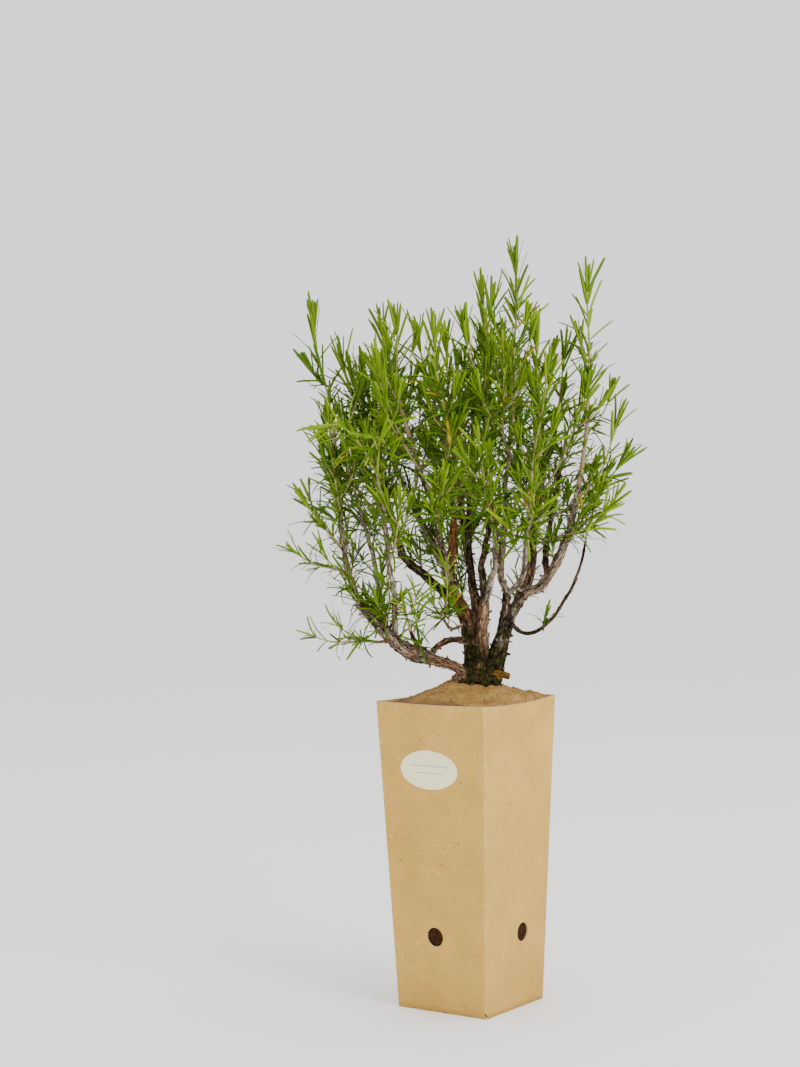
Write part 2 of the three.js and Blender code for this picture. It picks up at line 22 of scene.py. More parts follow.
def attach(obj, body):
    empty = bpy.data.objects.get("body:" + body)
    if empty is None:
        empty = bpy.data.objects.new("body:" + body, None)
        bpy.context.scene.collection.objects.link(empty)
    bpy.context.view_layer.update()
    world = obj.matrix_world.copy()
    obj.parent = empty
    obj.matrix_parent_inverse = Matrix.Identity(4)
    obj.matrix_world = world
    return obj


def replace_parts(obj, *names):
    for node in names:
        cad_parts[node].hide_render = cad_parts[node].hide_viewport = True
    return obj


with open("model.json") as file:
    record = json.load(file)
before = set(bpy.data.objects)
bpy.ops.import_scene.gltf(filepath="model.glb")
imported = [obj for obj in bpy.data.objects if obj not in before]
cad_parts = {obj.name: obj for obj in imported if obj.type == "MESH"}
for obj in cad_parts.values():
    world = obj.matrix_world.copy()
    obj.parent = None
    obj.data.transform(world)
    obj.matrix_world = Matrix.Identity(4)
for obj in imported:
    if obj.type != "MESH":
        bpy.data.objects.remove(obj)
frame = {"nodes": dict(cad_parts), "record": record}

log = logging.getLogger("rosemary")

Colour = tuple[float, float, float, float]
Triple = tuple[float, float, float]
Pair = tuple[float, float]
Axes = tuple[Vector, Vector, Vector]
Socket = bpy.types.NodeSocket
Material = bpy.types.Material
Mesh = bpy.types.Mesh
Piece = bpy.types.Object
BMesh = bmesh.types.BMesh

MM = 0.001
BODY = "root"
UP = Vector((0.0, 0.0, 1.0))
GOLDEN_TURN = 2.4
PARALLEL = 1e-12

# ---- sizes shared with the solids, in millimetres

POT_HEIGHT, POT_TOP, POT_BASE = 310.0, 132.0, 107.0
BOARD = 1.6
BELLY_FROM, BELLY = 190.0, 3.0
RIM_DIP = (0.8, 2.2, 0.8, 2.2)
HOLE_RADIUS, HOLE_HEIGHT, HOLE_OFFSET = 9.5, 76.0, (-4.0, 10.0, -4.0, 10.0)
LABEL_SIZE, LABEL_AT = (68.0, 39.0), (-3.0, 244.0)
SAND_EDGE, SAND_PEAK, SAND_SPREAD, SAND_FALL, SAND_HEAP = 302.0, 332.0, 52.0, 1.6, 7.0
SAND_FOOT, SAND_UNDER, SAND_BANK = (3.0, 8.0), 3.5, 0.6

BUSH_TURN = math.radians(35.6)
EYE = Vector((-64.0, -2279.0, 554.0))
STUMP_AT, STUMP_HALF = Vector((11.5, 0.0, 330.0)), Vector((25.5, 17.0, 13.0))
LIMB_RING = 24.0
HULL_MIDDLE, HULL_HALF = (2.8, -1.5), (169.0, 155.0)


class Bark(Enum):
    """How old wood looks: its tone from dark to pale, and its share of rust."""

    DARK = (0.2, 0.1)
    BROWN = (0.36, 0.3)
    RUST = (0.42, 0.85)
    TAN = (0.62, 0.45)
    OCHRE = (0.6, 1.0)
    GREY = (0.64, 0.1)
    PALE = (0.84, 0.04)


@dataclass(frozen=True)
class Limb:
    """One limb of old wood, as it is seen from the front.

    radius holds its start and end, and points its middle line as (across, away, up).
    """

    radius: Pair
    bark: Bark
    points: tuple[Triple, ...]


LIMBS: dict[str, Limb] = {
    "central": Limb((8.5, 7), Bark.BROWN, ((8, 2, 330), (8, 2, 348), (6, 0, 368), (2, -2, 388), (-7, -4, 408))),
    "tan": Limb((6.5, 5), Bark.TAN, ((14, -6, 330), (17, -9, 355), (18, -9, 380), (20, -8, 405))),
    "right": Limb((9.5, 7), Bark.GREY, ((27, 2, 330), (32, 2, 350), (38, 4, 372), (45, 6, 393))),
    "low_root": Limb((4.2, 7.2), Bark.TAN, ((4, -4, 333), (-14, -12, 343), (-38, -22, 350.5), (-56, -29, 357))),
    "low_left": Limb((7.4, 4.4), Bark.GREY, (
        (-46, -25, 353.5), (-60, -30, 359), (-76, -34, 373), (-92, -36, 391), (-108, -36, 407))),
    "arch": Limb((3.6, 3), Bark.BROWN, (
        (3, -4, 366), (-8, -9, 369), (-18, -14, 368), (-28, -19, 362.5), (-36, -22, 354))),
    "crook": Limb((3.2, 2), Bark.GREY, ((-34, -22, 354), (-44, -28, 360), (-51, -34, 368), (-56, -38, 380))),
    "left_rise": Limb((5, 2.8), Bark.DARK, (
        (-5, -4, 404), (-24, 6, 419), (-42, 14, 436), (-60, 20, 453), (-70, 26, 480), (-77, 30, 512),
        (-88, 30, 550))),
    "rust": Limb((5, 3), Bark.RUST, ((-6, -4, 404), (-13, -8, 424), (-13, -8, 445), (-10, -6, 470), (-11, -4, 508))),
    "lean_left": Limb((4, 2.5), Bark.GREY, (
        (-8, -6, 412), (-17, -18, 440), (-23, -26, 468), (-32, -34, 508), (-44, -40, 543), (-53, -42, 575))),
    "dark_mid": Limb((4.5, 2.8), Bark.DARK, (
        (15, -5, 398), (9, 6, 420), (6, 14, 445), (5, 20, 475), (6, 26, 515))),
    "mid_fork": Limb((4, 2.5), Bark.DARK, (
        (20, -8, 402), (19, 0, 425), (17, 6, 442), (23, 10, 465), (26, 14, 505))),
    "pale_mid": Limb((3.2, 2), Bark.PALE, (
        (20, -9, 402), (26, -18, 422), (30, -28, 442), (31, -34, 475), (28, -34, 520), (27, -30, 565))),
    "right_dark": Limb((5.5, 4.2), Bark.DARK, ((39, 3, 382), (42, -2, 402), (43, -4, 418))),
    "right_front": Limb((3.8, 2.3), Bark.GREY, (
        (43, -4, 415), (37, -8, 432), (38, -14, 455), (43, -22, 490), (43, -28, 520), (46, -32, 552),
        (50, -34, 585))),
    "right_inner": Limb((3.5, 2.2), Bark.PALE, (
        (43, -4, 415), (54, -12, 424), (60, -20, 440), (63, -30, 465), (66, -38, 495))),
    "right_grey": Limb((6, 3), Bark.GREY, (
        (43, 6, 388), (53, 8, 404), (62, 8, 416), (76, 6, 420), (86, 4, 434), (96, 2, 450), (106, 0, 474),
        (112, -2, 500), (117, -2, 522))),
    "right_up": Limb((5, 2.8), Bark.BROWN, (
        (58, 8, 410), (66, 16, 430), (69, 22, 455), (70, 28, 485), (74, 34, 530))),
    "right_fork": Limb((2.8, 2), Bark.BROWN, (
        (84, 5, 431), (82, 14, 452), (85, 20, 472), (91, 28, 500), (98, 34, 540))),
    "hook": Limb((1.9, 1.2), Bark.DARK, (
        (44, 2, 388), (56, -12, 376), (64, -16, 374), (76, -20, 378), (88, -22, 390), (101, -22, 408),
        (111, -20, 424), (118, -16, 444), (123, -12, 466))),
    "left_twig": Limb((1.6, 1.2), Bark.BROWN, ((2, -4, 386), (-14, -18, 380), (-22, -28, 390))),
    "far_left": Limb((1.6, 1.2), Bark.BROWN, ((-72, -34, 369), (-88, -44, 368), (-102, -52, 370))),
    "stub": Limb((4, 3.6), Bark.OCHRE, ((30, -6, 334), (44.5, -10, 331))),
    "left_stem_a": Limb((2.8, 1.9), Bark.PALE, (
        (-71, -33, 368), (-71, -40, 400), (-72, -44, 425), (-77, -46, 455), (-79, -48, 485), (-83, -50, 515))),
    "left_stem_b": Limb((2.5, 1.8), Bark.PALE, (
        (-86, -36, 384), (-87, -30, 410), (-89, -24, 440), (-97, -18, 475), (-104, -14, 500))),
    "left_stem_c": Limb((3.6, 2.1), Bark.GREY, (
        (-104, -36, 403), (-113, -34, 425), (-119, -30, 448), (-122, -26, 480), (-124, -20, 515))),
    "back_left": Limb((5, 2.6), Bark.GREY, (
        (4, 6, 345), (2, 16, 375), (-6, 36, 408), (-24, 58, 450), (-48, 76, 500), (-68, 86, 545))),
    "back_mid": Limb((5, 2.6), Bark.BROWN, (
        (10, 8, 345), (12, 34, 385), (8, 58, 425), (2, 76, 470), (-2, 86, 520), (2, 90, 560))),
    "back_right": Limb((5, 2.6), Bark.GREY, (
        (32, 8, 350), (46, 32, 390), (60, 54, 430), (72, 68, 475), (80, 78, 525), (84, 80, 565))),
}

# Leafy stems that show from the front: limb, share of its length where the stem leaves it, and the stem's tip.
FRONT_STEMS: tuple[tuple[str, float, Triple], ...] = (
    ("left_stem_c", 1.0, (-147, -10, 697)),
    ("left_rise", 1.0, (-121, 24, 660)),
    ("left_stem_c", 0.8, (-136, -50, 600)),
    ("lean_left", 0.8, (-88, -84, 655)),
    ("lean_left", 1.0, (-66, -44, 694)),
    ("left_rise", 0.9, (-100, 54, 645)),
    ("rust", 1.0, (-45, 16, 684)),
    ("lean_left", 0.6, (-27, -72, 684)),
    ("rust", 0.86, (-15, -10, 676)),
    ("pale_mid", 1.0, (4, -52, 690)),
    ("mid_fork", 1.0, (22, -18, 722)),
    ("dark_mid", 1.0, (32, 24, 716)),
    ("right_front", 0.84, (43, -70, 668)),
    ("right_front", 1.0, (57, -34, 753)),
    ("right_up", 1.0, (76, 16, 680)),
    ("right_grey", 1.0, (129, 4, 733)),
    ("right_inner", 1.0, (86, -92, 640)),
    ("right_fork", 1.0, (124, 44, 628)),
    ("right_grey", 0.92, (160, -8, 594)),
    ("right_grey", 0.84, (165, 24, 552)),
    ("right_grey", 0.72, (146, -44, 502)),
    ("hook", 1.0, (134, -22, 520)),
    ("left_stem_c", 0.55, (-160, -22, 512)),
    ("left_stem_c", 0.25, (-146, -52, 462)),
    ("left_stem_b", 1.0, (-118, -70, 574)),
    ("left_stem_a", 1.0, (-84, -104, 580)),
    ("left_stem_a", 0.55, (-62, -98, 512)),
    ("lean_left", 0.45, (-18, -124, 536)),
    ("pale_mid", 0.5, (16, -128, 574)),
    ("right_inner", 0.7, (74, -116, 528)),
    ("far_left", 1.0, (-132, -64, 390)),
    ("crook", 1.0, (-64, -62, 408)),
    ("left_twig", 1.0, (-33, -44, 412)),
)


@dataclass(frozen=True)
class FarSide:
    """The rule for the stems that the front hides: their tips stand on a dome.

    turns says where the dome starts and how far round it goes, in half turns. The last number of reach and of share
    says how far a draw moves it, and the middle one of share how much higher on its limb a high stem leaves.
    """

    limbs: tuple[str, ...] = ("back_left", "back_mid", "back_right", "left_rise", "right_up")
    count: int = 22
    middle: Triple = (2, 0, 560)
    half: Triple = (150, 142, 160)
    lowest: float = -0.45
    highest: float = 0.9
    lift_scatter: float = 0.12
    turns: Pair = (-0.06, 1.12)
    golden: float = 0.618034
    reach: Pair = (0.9, 0.12)
    share: Triple = (0.62, 0.4, 0.1)
    share_limits: Pair = (0.4, 0.97)


# ---- lines in space


def draw(seed: float) -> float:
    """Gives the share from 0 to 1, random to look at, that always goes with a seed."""
    x = math.sin(seed * 12.9898) * 43758.5453
    return x - math.floor(x)


def kept(value: float, least: float = 0.0, most: float = 1.0) -> float:
    """The value, kept from the least to the most."""
    return min(most, max(least, value))


def swung(side: Vector, over: Vector, turn: float) -> Vector:
    """The direction that is turned away from one side towards another, square to it."""
    return side * math.cos(turn) + over * math.sin(turn)


def turned(x: float, y: float, z: float) -> Vector:
    """Turns a point (across, away, up) of the bush's own frame into the pot's frame."""
    c, s = math.cos(BUSH_TURN), math.sin(BUSH_TURN)
    return Vector((x * c - y * s, x * s + y * c, z))


def seen_at(place: Sequence[float]) -> Vector:
    """Gives the place that is seen at (across, up) from the front, moved away along the line of sight."""
    across, away, up = place
    return turned(*(EYE + (Vector((across, 0.0, up)) - EYE) * ((away - EYE.y) / -EYE.y)))


class Path:
    """A smooth line that can be walked by its length."""

    DIVISIONS = 200
    NEARBY = 1e-4

    def __init__(self, point_at: Callable[[float], Vector]) -> None:
        """Measures the line.

        Args:
            point_at: Gives the point for a parameter from 0 to 1.
        """
        self.point_at = point_at
        points = [point_at(i / self.DIVISIONS) for i in range(self.DIVISIONS + 1)]
        self.lengths = [0.0]
        for before, after in zip(points, points[1:]):
            self.lengths.append(self.lengths[-1] + (after - before).length)

    @property
    def length(self) -> float:
        """The whole length."""
        return self.lengths[-1]

    def parameter(self, share: float) -> float:
        """Gives the parameter at a share of the length.

        Args:
            share: Share of the length, 0 to 1.

        Returns:
            The parameter, 0 to 1.
        """
        wanted = share * self.length
        i = min(max(bisect.bisect_right(self.lengths, wanted) - 1, 0), self.DIVISIONS - 1)
        low, high = self.lengths[i], self.lengths[i + 1]
        return (i + (wanted - low) / (high - low)) / self.DIVISIONS

    def at(self, share: float) -> Vector:
        """The point at a share of the length."""
        return self.point_at(self.parameter(share))

    def along(self, share: float) -> Vector:
        """The direction at a share of the length."""
        t = self.parameter(share)
        low, high = max(t - self.NEARBY, 0.0), min(t + self.NEARBY, 1.0)
        return (self.point_at(high) - self.point_at(low)).normalized()

    def frame(self, share: float) -> tuple[Vector, Vector, Vector, Vector]:
        """The point, the direction and two square directions at a share of the length."""
        along = self.along(share)
        return self.at(share), along, *square_to(along)

    def spaced(self, pieces: int) -> list[Vector]:
        """The ends of equal pieces of the line."""
        return [self.at(i / pieces) for i in range(pieces + 1)]


def smooth_path(points: Sequence[Vector]) -> Path:
    """Lays a centripetal spline through points.

    Args:
        points: Two or more points.

    Returns:
        The line through all of them.
    """
    last = len(points) - 1

    def point_at(t: float) -> Vector:
        """Walks the spline."""
        span = min(int(t * last), last - 1)
        w = t * last - span
        p1, p2 = points[span], points[span + 1]
        p0 = points[span - 1] if span > 0 else p1 * 2 - p2
        p3 = points[span + 2] if span + 2 <= last else p2 * 2 - p1
        d0, d1, d2 = ((b - a).length ** 0.5 for a, b in ((p0, p1), (p1, p2), (p2, p3)))
        into = ((p1 - p0) / d0 - (p2 - p0) / (d0 + d1) + (p2 - p1) / d1) * d1
        out = ((p2 - p1) / d1 - (p3 - p1) / (d1 + d2) + (p3 - p2) / d2) * d1
        bend = (p2 - p1) * 3 - into * 2 - out
        return p1 + into * w + bend * w * w + ((p1 - p2) * 2 + into + out) * w * w * w

    return Path(point_at)


def arc_path(*points: Vector) -> Path:
    """Lays a cubic Bezier line.

    Args:
        *points: Its start, two control points and its end.

    Returns:
        The line.
    """
    a, b, c, d = points

    def point_at(t: float) -> Vector:
        """Walks the curve."""
        s = 1 - t
        return a * s**3 + b * (3 * s * s * t) + c * (3 * s * t * t) + d * t**3

    return Path(point_at)


def square_to(along: Vector) -> tuple[Vector, Vector]:
    """Gives two directions square to a direction and to each other."""
    side = (Vector((1.0, 0.0, 0.0)) if abs(along.z) > 0.9 else UP).cross(along).normalized()
    return side, along.cross(side)


def carried_frames(points: Sequence[Vector]) -> list[Axes]:
    """Carries two square directions along a line without twisting them.

    Args:
        points: Points of the line.

    Returns:
        The direction of the line and its two square directions, at each point.
    """
    frames = []
    side = Vector()
    for i in range(len(points)):
        along = (points[min(i + 1, len(points) - 1)] - points[max(i - 1, 0)]).normalized()
        side = square_to(along)[0] if i == 0 else (side - along * side.dot(along)).normalized()
        frames.append((along, side, along.cross(side)))
    return frames


# ---- growth


def segment_gaps(a: np.ndarray, b: np.ndarray, c: np.ndarray, d: np.ndarray) -> np.ndarray:
    """Measures the least distance between each of some straight pieces and each of others.

    Args:
        a: Starts of the first pieces, m by 3.
        b: Their ends.
        c: Starts of the second pieces, n by 3.
        d: Their ends.

    Returns:
        Distances, m by n.
    """
    a, b = a[:, None], b[:, None]
    u, v, w = b - a, (d - c)[None], a - c[None]
    uu, vv, uv = (u * u).sum(-1), (v * v).sum(-1), (u * v).sum(-1)
    uw, vw = (u * w).sum(-1), (v * w).sum(-1)
    flat = uu * vv - uv * uv
    s = np.where(flat > PARALLEL, np.clip((uv * vw - uw * vv) / np.maximum(flat, PARALLEL), 0, 1), 0)
    t = (uv * s + vw) / vv
    s = np.where(t < 0, np.clip(-uw / uu, 0, 1), np.where(t > 1, np.clip((uv - uw) / uu, 0, 1), s))
    t = np.clip(t, 0, 1)
    return np.linalg.norm(w + u * s[..., None] - v * t[..., None], axis=-1)


class Thicket:
    """All that has grown so far, as thick straight pieces."""

    CLEAR = 0.6

    def __init__(self) -> None:
        """Starts empty."""
        self.pieces: list[tuple[Vector, Vector, float, bool]] = []

    def add(self, points: Sequence[Vector], radius: float, wood: bool) -> None:
        """Adds a line of pieces of old wood or of a young stem."""
        self.pieces += [(a, b, radius, wood) for a, b in zip(points, points[1:])]

    def crowded(self, points: Sequence[Vector], radius: float) -> bool:
        """Tells whether a new line comes too near. Its first two pieces may touch old wood.

        Args:
            points: Ends of its pieces.
            radius: Its radius.

        Returns:
            True if it is too near to anything.
        """
        starts, ends, radii, wood = zip(*self.pieces)
        line = np.array(points)
        gaps = segment_gaps(line[:-1], line[1:], np.array(starts), np.array(ends))
        near = gaps < np.array(radii)[None] + radius + self.CLEAR
        near[:2] &= ~np.array(wood)[None]
        return bool(near.any())


@dataclass(frozen=True)
class Shoot:
    """Where a leafy stem grows: its limb, the share of the limb's length where it starts, and its tip."""

    limb: str
    share: float
    tip: Vector

    @property
    def at_end(self) -> bool:
        """Whether the stem goes on from the end of its limb."""
        return self.share > 0.99


class Growth:
    """Grows the middle lines of the limbs and of the leafy stems."""

    STEM_RADIUS, STEM_PIECES = 2.1, 10
    TRIES, BEND_STEP, SLIP = 40, 5.0, 0.008
    TAPER_AT = 0.3
    SINK, SLANT, RISE = 2, 0.8, 0.5
    LEAVE, ARRIVE = 0.33, 0.3

    def __init__(self) -> None:
        """Grows everything."""
        self.limbs = {name: smooth_path([seen_at(p) for p in limb.points]) for name, limb in LIMBS.items()}
        self.thicket = Thicket()
        for name, path in self.limbs.items():
            start, end = LIMBS[name].radius
            pieces = math.ceil(path.length / LIMB_RING)
            self.thicket.add(path.spaced(pieces), start + (end - start) * self.TAPER_AT, True)
        front = [Shoot(limb, share, seen_at(tip)) for limb, share, tip in FRONT_STEMS]
        self.shoots = front + self.far_shoots(FarSide())
        self.stems = [self.clear_stem(shoot) for shoot in self.shoots]

    def far_shoots(self, rule: FarSide) -> list[Shoot]:
        """Works out the stems that the front hides.

        Args:
            rule: The dome that their tips stand on.

        Returns:
            The stems, the lowest first.
        """
        shoots = []
        for i in range(rule.count):
            turn = math.pi * (rule.turns[0] + rule.turns[1] * ((i * rule.golden) % 1))
            lift = rule.lowest + (rule.highest - rule.lowest) * (i + 0.5) / rule.count
            lift += rule.lift_scatter * (draw(i + 7) - 0.5)
            reach = math.sqrt(1 - lift * lift) * (rule.reach[0] + rule.reach[1] * draw(i + 90))
            tip = turned(
                rule.middle[0] + rule.half[0] * reach * math.cos(turn),
                rule.middle[1] + rule.half[1] * reach * math.sin(turn),
                rule.middle[2] + rule.half[2] * lift,
            )
            share = rule.share[0] + rule.share[1] * lift + rule.share[2] * (draw(i + 31) - 0.5)
            share = kept(share, *rule.share_limits)
            limb = min(rule.limbs, key=lambda name: (self.limbs[name].at(share) - tip).length)
            shoots.append(Shoot(limb, share, tip))
        return shoots

    def stem_path(self, shoot: Shoot, share: float, bend: Vector) -> Path:
        """Lays the middle line of a stem: out of its limb, then up to its tip.

        Args:
            shoot: The stem.
            share: Share of the limb's length where it starts.
            bend: How far its middle is moved aside.

        Returns:
            The line.
        """
        limb = self.limbs[shoot.limb]
        start, grain = limb.at(share), limb.along(share)
        reach = shoot.tip - start
        out = (reach - grain * reach.dot(grain)).normalized()
        leave = grain if shoot.at_end else (out + grain * self.SLANT).normalized()
        arrive = (reach.normalized() + UP * self.RISE).normalized()
        return arc_path(
            start - grain * self.SINK if shoot.at_end else start,
            start + leave * reach.length * self.LEAVE + bend,
            shoot.tip - arrive * reach.length * self.ARRIVE + bend,
            shoot.tip,
        )

    def clear_stem(self, shoot: Shoot) -> Path:
        """Finds the first lay of a stem that is clear of all that has grown.

        Args:
            shoot: The stem.

        Returns:
            Its middle line.
        """
        reach = (shoot.tip - self.limbs[shoot.limb].at(shoot.share)).normalized()
        side, over = square_to(reach)
        path = self.stem_path(shoot, shoot.share, Vector())
        for i in range(self.TRIES):
            far = self.BEND_STEP * math.sqrt(i)
            bend = side * (far * math.cos(i * GOLDEN_TURN)) + over * (far * math.sin(i * GOLDEN_TURN))
            share = shoot.share if shoot.at_end else shoot.share - self.SLIP * i
            path = self.stem_path(shoot, share, bend)
            if not self.thicket.crowded(path.spaced(self.STEM_PIECES), self.STEM_RADIUS):
                break
        self.thicket.add(path.spaced(self.STEM_PIECES), self.STEM_RADIUS, False)
        return path


# ---- node materials


def srgb(*levels: int) -> Colour:
    """Gives a screen colour, red, green and blue up to 255, as the linear colour that a shader takes."""
    shares = (level / 255 for level in levels)
    return *(s / 12.92 if s <= 0.04045 else ((s + 0.055) / 1.055) ** 2.4 for s in shares), 1.0


class NodeSheet:
    """A material's nodes, with one short call for each kind that the finishes use."""

    def __init__(self, name: str, roughness: float, specular: float = 0.5) -> None:
        """Starts a material.

        Args:
            name: The material's name.
            roughness: The shader's roughness.
            specular: How strongly it reflects.
        """
        self.material = bpy.data.materials.new(name)
        self.material.use_nodes = True
        self.tree = self.material.node_tree
        self.shader = self.tree.nodes["Principled BSDF"]
        self.shader.inputs["Roughness"].default_value = roughness
        self.shader.inputs["Specular IOR Level"].default_value = specular
        self.place = self.add("ShaderNodeTexCoord").outputs["Object"]

    def add(self, kind: str, **values: object) -> bpy.types.Node:
        """Adds a node.

        Args:
            kind: Blender's name for the node.
            **values: Its attributes and inputs by their names.

        Returns:
            The node.
        """
        node = self.tree.nodes.new(kind)
        for key, value in values.items():
            if key in node.inputs:
                self.feed(node.inputs[key], value)
            else:
                setattr(node, key, value)
        return node

    def feed(self, socket: Socket, value: object) -> None:
        """Links or sets an input.

        Args:
            socket: The input.
            value: An output to link, or a plain value.
        """
        if isinstance(value, Socket):
            self.tree.links.new(value, socket)
        else:
            socket.default_value = value

    def stretched(self, up: float, place: Socket | None = None) -> Socket:
        """Coordinates scaled along their third axis: the object's own if none are given."""
        return self.add("ShaderNodeMapping", Vector=place or self.place, Scale=(1.0, 1.0, up)).outputs["Vector"]

    def noise(self, scale: float, detail: float = 3.0, rough: float = 0.55, place: Socket | None = None) -> Socket:
        """A noise from 0 to 1, with its octaves (detail) and the strength of the finer ones (rough)."""
        inputs = {"Vector": place or self.place, "Scale": scale, "Detail": detail, "Roughness": rough}
        return self.add("ShaderNodeTexNoise", **inputs).outputs["Fac"]

    def cells(self, scale: float, feature: str = "F1", place: Socket | None = None) -> Socket:
        """The distance in a pattern of cells."""
        node = self.add("ShaderNodeTexVoronoi", feature=feature, Vector=place or self.place, Scale=scale)
        return node.outputs["Distance"]

    def ramp(self, factor: Socket, *stops: tuple[float, object]) -> Socket:
        """Adds a colour ramp.

        Args:
            factor: Where to read it.
            *stops: Place and colour, or place and grey value.

        Returns:
            The colour.
        """
        node = self.add("ShaderNodeValToRGB", Fac=factor)
        elements = node.color_ramp.elements
        while len(elements) < len(stops):
            elements.new(0.5)
        for element, (place, colour) in zip(elements, stops):
            element.position = place
            element.color = colour if isinstance(colour, tuple) else (colour, colour, colour, 1.0)
        return node.outputs["Color"]

    def mix(self, factor: object, *colours: object) -> Socket:
        """Mixes two colours.

        Args:
            factor: How much of the second, a socket or a number.
            *colours: The first and the second, each a colour or a socket.

        Returns:
            The mixed colour.
        """
        node = self.add("ShaderNodeMix", data_type="RGBA", Factor=factor)
        for socket, colour in zip(node.inputs[6:8], colours):
            self.feed(socket, colour)
        return node.outputs[2]

    def sum(self, operation: str, first: object, second: object = 0.0, clamp: bool = False) -> Socket:
        """Works a sum out.

        Args:
            operation: Blender's name for it.
            first: A number or a socket.
            second: A number or a socket.
            clamp: Whether the result stays from 0 to 1.

        Returns:
            The result.
        """
        node = self.add("ShaderNodeMath", operation=operation, use_clamp=clamp)
        self.feed(node.inputs[0], first)
        self.feed(node.inputs[1], second)
        return node.outputs["Value"]

    def plus(self, first: object, second: object, clamp: bool = False) -> Socket:
        """Adds one value to another."""
        return self.sum("ADD", first, second, clamp)

    def minus(self, first: object, second: object, clamp: bool = False) -> Socket:
        """Takes one value from another."""
        return self.sum("SUBTRACT", first, second, clamp)

    def times(self, first: object, second: object, clamp: bool = False) -> Socket:
        """Multiplies one value by another."""
        return self.sum("MULTIPLY", first, second, clamp)

    def axis(self, name: str) -> Socket:
        """One of the object's coordinates in metres: X, Y or Z."""
        return self.add("ShaderNodeSeparateXYZ", Vector=self.place).outputs[name]

    def attribute(self, name: str) -> Socket:
        """The value of one of the mesh's own attributes."""
        return self.add("ShaderNodeAttribute", attribute_name=name).outputs["Fac"]

    def finish(self, colour: object, height: object = None, depth: float = 0.001, strength: float = 1.0) -> Material:
        """Wires the shader.

        Args:
            colour: Its colour.
            height: Relief from 0 to 1, if any.
            depth: What a height of 1 stands for, in metres.
            strength: How strongly the relief shows.

        Returns:
            The material.
        """
        self.feed(self.shader.inputs["Base Color"], colour)
        if height is not None:
            bump = self.add("ShaderNodeBump", Strength=strength, Distance=depth, Height=height)
            self.feed(self.shader.inputs["Normal"], bump.outputs["Normal"])
        return self.material


@dataclass(frozen=True)
class KraftBoard:
    """Matt kraft board: soft clouds, fine fibres, a few pale and dark flecks, with painted shade on its inner face
    below the rim and towards its bottom.
    """

    base: Colour = (0.61, 0.36, 0.068, 1.0)
    shade: Colour = (0.51, 0.29, 0.048, 1.0)
    pale: Colour = (0.74, 0.55, 0.24, 1.0)
    dark: Colour = srgb(104, 72, 38)
    # Colour of the painted shade on the inner face just below the rim.
    inner_painted_shade: Colour = srgb(104, 78, 44)
    # Painted shade towards the bottom of the pot: how fast it fades with height, per metre, and how strong it is.
    low_shade_fade: float = 17.0
    painted_shade: float = 0.22
    scuff_fade: float = 420.0

    def make(self) -> Material:
        """Builds the board's material."""
        sheet = NodeSheet("kraft_board", 0.85, 0.15)
        cloud = sheet.noise(26, 4)
        fibres = sheet.noise(850, 4, 0.7, sheet.stretched(0.4))
        colour = sheet.mix(sheet.ramp(cloud, (0.3, 0.0), (0.7, 1.0)), self.shade, self.base)
        colour = sheet.mix(sheet.ramp(fibres, (0.4, 0.0), (0.7, 0.3)), colour, self.pale)
        flecks = sheet.noise(260, 2, 0.5, sheet.stretched(0.45))
        colour = sheet.mix(sheet.ramp(flecks, (0.73, 0.0), (0.76, 0.7)), colour, self.pale)
        specks = sheet.ramp(sheet.noise(310, 1, 0.4), (0.745, 0.0), (0.77, 0.75))
        colour = sheet.mix(specks, colour, self.dark)
        worn = sheet.ramp(sheet.noise(240, 3), (0.45, 0.0), (0.62, 0.6))
        colour = sheet.mix(sheet.times(sheet.attribute("fold"), worn), colour, self.pale)
        # Painted shade: the board grows darker over its lowest 60 mm or so.
        low = sheet.minus(1.0, sheet.times(sheet.axis("Z"), self.low_shade_fade), clamp=True)
        colour = sheet.mix(sheet.times(low, self.painted_shade), colour, self.dark)
        colour = sheet.mix(self.grubby(sheet), colour, self.dark)
        # Painted shade on the inner face just below the rim.
        colour = sheet.mix(sheet.attribute("inside"), colour, self.inner_painted_shade)
        height = sheet.plus(sheet.times(fibres, 0.6), sheet.times(cloud, 0.8))
        return sheet.finish(colour, height, 0.0004, 0.45)

    def grubby(self, sheet: NodeSheet) -> Socket:
        """Marks small scuffs along the lowest edge, from 0 to 1."""
        low = sheet.minus(1.0, sheet.times(sheet.axis("Z"), self.scuff_fade), clamp=True)
        return sheet.times(low, sheet.ramp(sheet.noise(75, 2), (0.56, 0.0), (0.64, 0.8)))


@dataclass(frozen=True)
class BoardEdge:
    """The cut edge of the board: paler, with the short hairs of torn fibres."""

    pale: Colour = srgb(214, 197, 158)
    dark: Colour = srgb(150, 122, 80)

    def make(self) -> Material:
        """Builds the cut edge's material."""
        sheet = NodeSheet("board_edge", 0.9)
        hairs = sheet.noise(1500, 3, 0.7)
        return sheet.finish(sheet.mix(sheet.ramp(hairs, (0.4, 0.0), (0.6, 1.0)), self.dark, self.pale), hairs, 0.0006)


